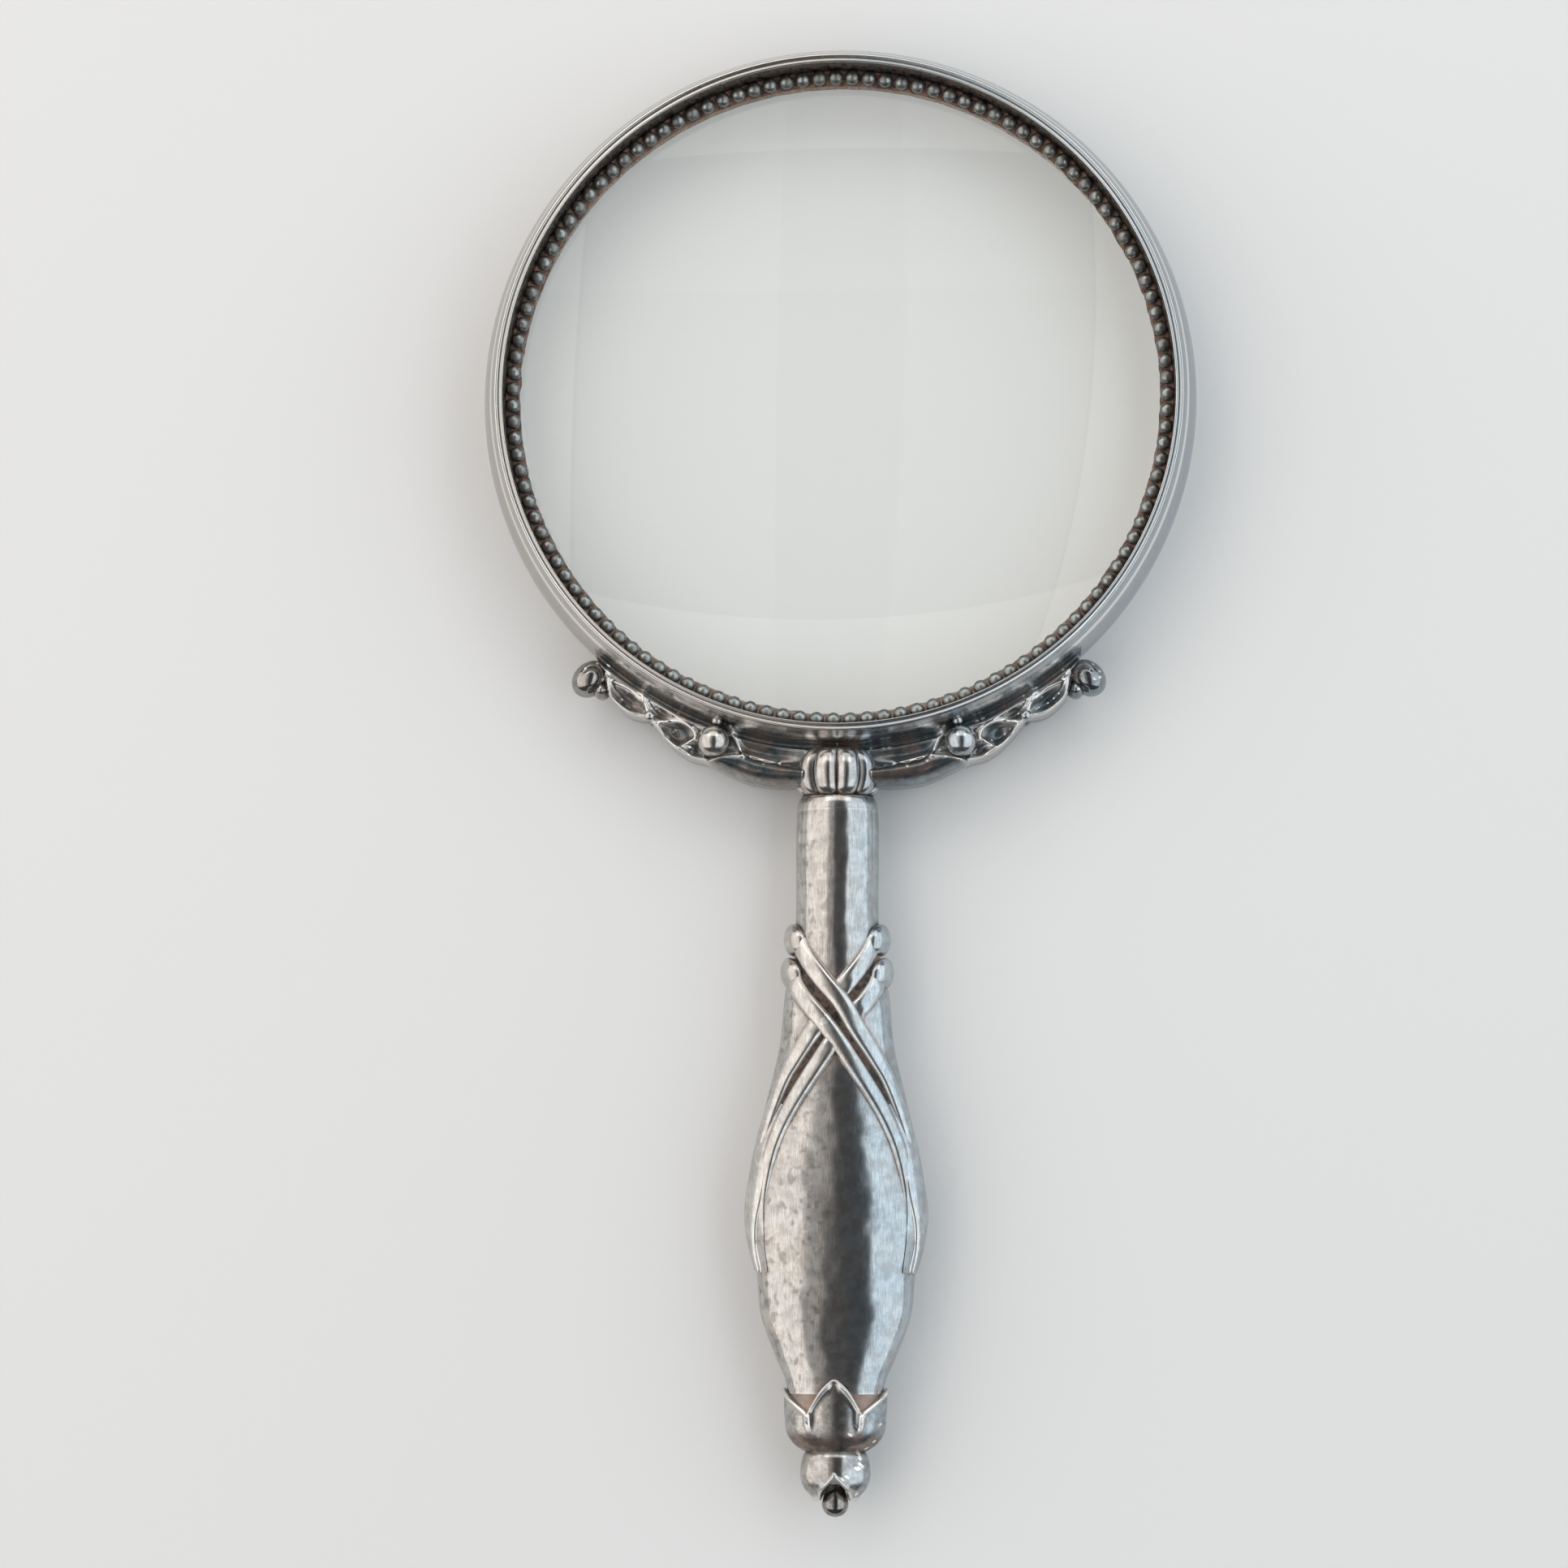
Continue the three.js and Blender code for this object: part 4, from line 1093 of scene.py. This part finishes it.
def bud_loop(share, inset=0.0):
    loop = []
    for i in range(BUD_AROUND):
        degrees = 360 * i / BUD_AROUND
        place = bud_start - 0.3 + (bud_edge(degrees) - bud_start + 0.3) * share
        lip = 0.2 * bump_shape((1 - share) * (bud_edge(degrees) - bud_start) - 0.2, 0.28)
        dent = 0.22 * bump_shape((abs((degrees % 180) - 90) - 42) / 18, 1.0) * smooth_step(share * 2)
        reach = lip - dent - inset
        loop.append(oval_point(place, bud_width(place) + reach, bud_depth(place) + reach, math.radians(degrees)))
    return loop


def bud_lip(vertex):
    degrees = math.degrees(math.atan2(vertex.co.z, vertex.co.x)) % 360
    return 0.7 * bump_shape(bud_edge(degrees) + vertex.co.y - 0.25, 0.3)


bud_core = [Vector((p.x * 0.9, p.y + 0.5, p.z * 0.9)) for p in bud_loop(1.0, 0.4)]
bud_bm = bmesh.new()
loft(bud_bm, [bud_loop(i / BUD_ALONG) for i in range(BUD_ALONG + 1)] + [bud_loop(1.0, 0.35), bud_core])
# Painted highlight, partly wear: the lips of the bud's opening are painted bright.
paint(bud_bm, "wear_and_highlight", bud_lip)
finish_piece(bud_bm, "bud_coat", calyx_silver, ["bud_finial"], soft_angle=60)

BEAD_LENGTH = 6.1
tip_end = station("tip_bead", "far")
tip_width = smooth_curve([(tip_end + along, half) for along, half in (
    (-BEAD_LENGTH, 0.15), (-5.2, 0.7), (-4.0, 1.15), (-2.9, 1.5), (-2.0, 1.72), (-1.3, 1.7), (-0.7, 1.42),
    (-0.3, 1.02), (-0.08, 0.55), (0.0, 0.12),
)])
tip_bm = bmesh.new()
loft(tip_bm, [oval_loop(place, tip_width(place), tip_width(place), 56)
              for place in (tip_end - BEAD_LENGTH * math.cos(i / 40 * math.pi / 2) for i in range(41))])
finish_piece(tip_bm, "end_bead", dark_bud_silver, ["tip_bead"], soft_angle=180)

# %% [markdown]
# ## Leaf cradle
# Cast leaves grow along the ring on both sides of the collar. They are modelled like a coin: one height function
# over the whole cradle, measured in degrees from the handle and in millimetres past the ring. It has a channel
# along the ring, raised rims along drawn lines, cupped hollows between the rims and a plump lobe beside the
# collar. Each cast piece covers its own part of this relief, so neighbours meet exactly.

# %% Cradle relief
leaf_half = bench_box("left_middle_leaf")[1].z


def cradle_point(radius, degrees, side):
    angle = math.radians(degrees)
    return Vector((side * radius * math.sin(angle), -radius * math.cos(angle), 0))


def drawn_line(points, pieces=7):
    """Short straight lengths along a smooth line through (degrees, past the ring) points."""
    turn = smooth_curve([(i, point[0]) for i, point in enumerate(points)])
    past = smooth_curve([(i, point[1]) for i, point in enumerate(points)])
    shares = [i / pieces for i in range((len(points) - 1) * pieces + 1)]
    return [cradle_point(ring_radius + past(share), turn(share), 1).xy for share in shares]


def line_gap(line, spot):
    """Distance from a spot to a drawn line."""
    nearest = 1e9
    for start, end in zip(line, line[1:]):
        run = end - start
        share = min(max((spot - start).dot(run) / run.length_squared, 0.0), 1.0)
        nearest = min(nearest, (start + run * share - spot).length_squared)
    return math.sqrt(nearest)


OUTER_EDGE = smooth_curve([
    (5.0, 5.25), (9.4, 5.75), (12.3, 5.85), (14.8, 5.55), (17.3, 5.1), (19.2, 4.85), (21.8, 5.1), (24.2, 4.75),
    (26.2, 4.1), (28.0, 3.4), (29.8, 2.75), (31.0, 3.2), (32.7, 3.6), (35.1, 3.45), (36.8, 2.95), (38.0, 2.2),
    (39.4, 1.2),
])
LOBE_END = 19.2
LOBE_RIM = smooth_curve([(5, 2.9), (12, 2.75), (14.4, 2.55), (16.2, 2.9), (17.8, 3.7), (LOBE_END, 4.8)])
RIM_SOFTNESS = 1.35
# Each rim: its height, its half width, then the (degrees, past the ring) points of its line.
RIMS = [(lift, width * RIM_SOFTNESS, drawn_line(points)) for lift, width, points in (
    (0.42, 0.27, [(38.2, 1.3), (36.8, 2.6), (35.1, 3.1), (32.7, 3.3), (30.5, 2.75)]),
    (0.4, 0.3, [(32.6, 0.2), (31.3, 1.2), (30.2, 2.0), (29.8, 2.5)]),
    (0.25, 0.26, [(38.4, 1.1), (35.0, 0.95), (32.0, 1.1)]),
    (0.42, 0.27, [(29.9, 2.45), (28.0, 3.05), (26.2, 3.75), (24.2, 4.4), (21.8, 4.75), (19.4, 4.6)]),
    (0.32, 0.22, [(28.2, 2.5), (27.0, 1.75), (24.9, 1.15), (22.9, 1.35), (22.1, 2.2), (22.6, 3.0), (23.7, 4.3)]),
    (0.28, 0.22, [(22.6, 3.0), (21.2, 2.6), (20.3, 3.5), (19.7, 4.5)]),
    (0.4, 0.25, [(17.4, -0.5), (15.9, 0.9), (14.7, 2.0), (14.3, 2.45)]),
    (0.2, 0.24, [(14.3, 2.45), (12.0, 2.5), (9.0, 2.75)]),
    (0.42, 0.26, [(19.2, 4.75), (17.8, 3.65), (16.2, 2.85), (14.3, 2.5)]),
    (0.22, 0.22, [(39.0, 0.5), (35.3, 0.5), (32.2, 0.25), (28.5, 0.5), (23.8, 0.7), (20.6, 0.5)]),
)]
# Each hollow: its middle in degrees and past the ring, its half length, half width and depth.
HOLLOWS = [
    (34.1, 2.05, 2.3, 1.0, 1.1), (25.0, 2.75, 1.75, 1.35, 1.2), (21.0, 3.9, 1.05, 0.75, 0.6),
    (28.2, 1.4, 1.6, 0.6, 0.45), (11.0, 1.0, 4.6, 1.2, 0.55), (17.2, 1.7, 1.3, 1.1, 0.35),
]


def cradle_relief(past, degrees):
    """Height above the middle plane; how dark the spot is painted (patina and painted shade in the channel, the
    hollows and the lobe) and how bright (wear and painted highlight on the rims).
    """
    spot = cradle_point(ring_radius + past, degrees, 1).xy
    channel = 0.95 * smooth_step((-0.1 - past) / 0.9) + 0.45 * smooth_step((past - 0.05) / 0.5)
    height = leaf_half - 1.35 + channel
    # Painted shade, partly patina: dark along the channel by the ring, then in the hollows and on the lobe.
    dark = bump_shape(past - 0.05, 0.75)
    for middle, reach, half_length, half_width, depth in HOLLOWS:
        along = (degrees - middle) * math.radians(1) * ring_radius
        dip = math.exp(-(((along / half_length) ** 2 + ((past - reach) / half_width) ** 2) ** 1.6))
        height -= depth * dip
        dark = max(dark, dip ** 0.6)
    edge_gap = OUTER_EDGE(degrees) - past
    lobe_share = (past - LOBE_RIM(degrees)) / max(OUTER_EDGE(degrees) - LOBE_RIM(degrees), 0.3)
    if degrees < LOBE_END and lobe_share > 0:
        bulge = math.sin(math.pi * min(lobe_share, 1.0) ** 0.75) ** 0.8
        height += 1.25 * bulge - 0.9 * lobe_share ** 3
        dark = max(dark, smooth_step(lobe_share / 0.3) * (1 - smooth_step((lobe_share - 0.6) / 0.3)))
    # Painted highlight, partly wear: the raised rims are painted bright.
    shine = 0.0
    for lift, width, line in RIMS:
        ridge = bump_shape(line_gap(line, spot), width)
        shine = max(shine, ridge)
        height += lift * ridge
    height -= 0.5 * (1 - smooth_step(edge_gap / 0.35))
    return height, dark * (1 - shine), 0.7 * shine


def cast_piece(name, side, start, end, inner, outer, stands_for, along=90, across=44):
    """Part of the relief between two angles, with the same relief on the front and the back."""
    bm = bmesh.new()
    bmesh.ops.create_grid(bm, x_segments=along, y_segments=across, size=0.5)
    patina_and_shade = bm.verts.layers.float.new("patina_and_shade")
    wear_and_highlight = bm.verts.layers.float.new("wear_and_highlight")
    for vertex in bm.verts:
        degrees = start + (vertex.co.x + 0.5) * (end - start)
        past = inner + (vertex.co.y + 0.5) * (outer(degrees) - inner)
        vertex.co = cradle_point(ring_radius + past, degrees, side)
        vertex.co.z, vertex[patina_and_shade], vertex[wear_and_highlight] = cradle_relief(past, degrees)
    rims = [edge for edge in bm.edges if edge.is_boundary]
    made = bmesh.ops.duplicate(bm, geom=list(bm.verts) + list(bm.edges) + list(bm.faces))
    for item in made["geom"]:
        if isinstance(item, bmesh.types.BMVert):
            item.co.z = -item.co.z
    back_rims = [item for item in made["geom"] if isinstance(item, bmesh.types.BMEdge) and item.is_boundary]
    bmesh.ops.bridge_loops(bm, edges=rims + back_rims)
    finish_piece(bm, name, cast_silver, stands_for, soft_angle=60)


print("cradle relief ready, leaves stand", round(leaf_half, 2), "mm above the middle")

# %% Leaves and saddles
TONGUE_ANGLE = 43.6
SPANS = {"outer_leaf": (30.0, 39.3), "middle_leaf": (19.2, 30.2), "inner_leaf": (5.0, 19.4)}


def tongue_edge(degrees):
    """Outer edge of the saddle: hidden below the leaves, then tapering to a point on the ring's wall."""
    left = TONGUE_ANGLE - degrees
    return 0.7 * smooth_step(left / 4.5) - 0.75 * (1 - smooth_step(left / 2))


for side_name, side in SIDES:
    cast_piece(f"{side_name}_saddle_channel", side, 0.0, TONGUE_ANGLE, -1.15, tongue_edge,
               [f"{side_name}_saddle_arm"], 220, 20)
    for leaf_name, (start, end) in SPANS.items():
        cast_piece(f"{side_name}_{leaf_name}_cast", side, start, end, 0.45, OUTER_EDGE, [f"{side_name}_{leaf_name}"])

# %% [markdown]
# The rolled scroll ends are eggs with a spiral groove pressed into both faces. A small heel joins each to the
# cradle.

# %% Scroll ends
SCROLL_SIZE = (2.25, 2.75, 2.6)
HEEL_RADIUS = 1.15
for side_name, side in SIDES:
    scroll_low, scroll_high = bench_box(f"{side_name}_scroll_end")
    scroll_bm = bmesh.new()
    bmesh.ops.create_uvsphere(scroll_bm, u_segments=96, v_segments=64, radius=1.0)
    patina_and_shade = scroll_bm.verts.layers.float.new("patina_and_shade")
    for vertex in scroll_bm.verts:
        direction = vertex.co.normalized()
        turn = (math.atan2(direction.y, direction.x * side) + 2.4) % (2 * math.pi)
        coil = 0.18 + 0.58 * turn / (2 * math.pi)
        groove = bump_shape(direction.xy.length - coil, 0.1) * smooth_step((turn - 2.0) / 1.5)
        vertex[patina_and_shade] = 0.9 * groove
        vertex.co = Vector([d * size for d, size in zip(direction, SCROLL_SIZE)]) * (1 - 0.12 * groove)
    bmesh.ops.rotate(scroll_bm, verts=scroll_bm.verts, cent=(0, 0, 0), matrix=Matrix.Rotation(side * 0.78, 3, "Z"))
    bmesh.ops.translate(scroll_bm, vec=(scroll_low + scroll_high) / 2, verts=scroll_bm.verts)
    heel = cradle_point(ring_radius + 3.0, 38.4, side)
    made = bmesh.ops.create_uvsphere(scroll_bm, u_segments=40, v_segments=28, radius=HEEL_RADIUS)["verts"]
    bmesh.ops.scale(scroll_bm, vec=(1, 1, 2.0), verts=made)
    bmesh.ops.translate(scroll_bm, vec=heel, verts=made)
    finish_piece(scroll_bm, f"{side_name}_rolled_scroll", cast_silver, [f"{side_name}_scroll_end"],
                 soft_angle=180)

# %% Berries and studs
# Each ball: how far past the ring, its angle, its height and its radius.
BALLS = ((2.0, 19.2, 3.75, 2.15), (-0.8, 19.8, 3.45, 0.7), (2.3, 29.8, 2.9, 0.75))
for side_name, side in SIDES:
    for face_name, face in (("front", 1), ("rear", -1)):
        berry_bm = bmesh.new()
        for past, degrees, lift, radius in BALLS:
            spot = cradle_point(ring_radius + past, degrees, side)
            spot.z = face * lift
            bmesh.ops.create_icosphere(berry_bm, subdivisions=4, radius=radius, matrix=Matrix.Translation(spot))
        finish_piece(berry_bm, f"{face_name}_{side_name}_berries", collar_silver,
                     [f"{face_name}_{side_name}_berry"], soft_angle=180)

# %% [markdown]
# ## Pieces kept as they are
# The inner pieces already have the right shape in CAD, so they only get a finish.

# %% Inner pieces
KEPT = {
    "rear_retaining_ring": ring_silver, "lens_packing": packing_cork, "tang": core_steel, "finial_rod": core_steel,
    "handle_filler": handle_pitch,
}
for node_name, finish in KEPT.items():
    node_mesh = nodes[node_name].data
    node_mesh.materials.clear()
    node_mesh.materials.append(finish)
    print("kept", node_name)

# %% [markdown]
# ## Floor
# A plain pale sheet under the object.

# %% Floor
floor_bm = bmesh.new()
bmesh.ops.create_grid(floor_bm, x_segments=1, y_segments=1, size=2.0)
floor_mesh = bpy.data.meshes.new("floor")
floor_bm.to_mesh(floor_mesh)
floor_bm.free()
floor = bpy.data.objects.new("floor", floor_mesh)
bpy.context.scene.collection.objects.link(floor)
floor.location.z = cad_box[0].z - 0.0001
paper = bpy.data.materials.new("paper")
paper.use_nodes = True
for socket, value in (("Base Color", (0.80, 0.80, 0.80, 1)), ("Roughness", 0.6), ("Specular IOR Level", 0.2)):
    paper.node_tree.nodes["Principled BSDF"].inputs[socket].default_value = value
floor_mesh.materials.append(paper)
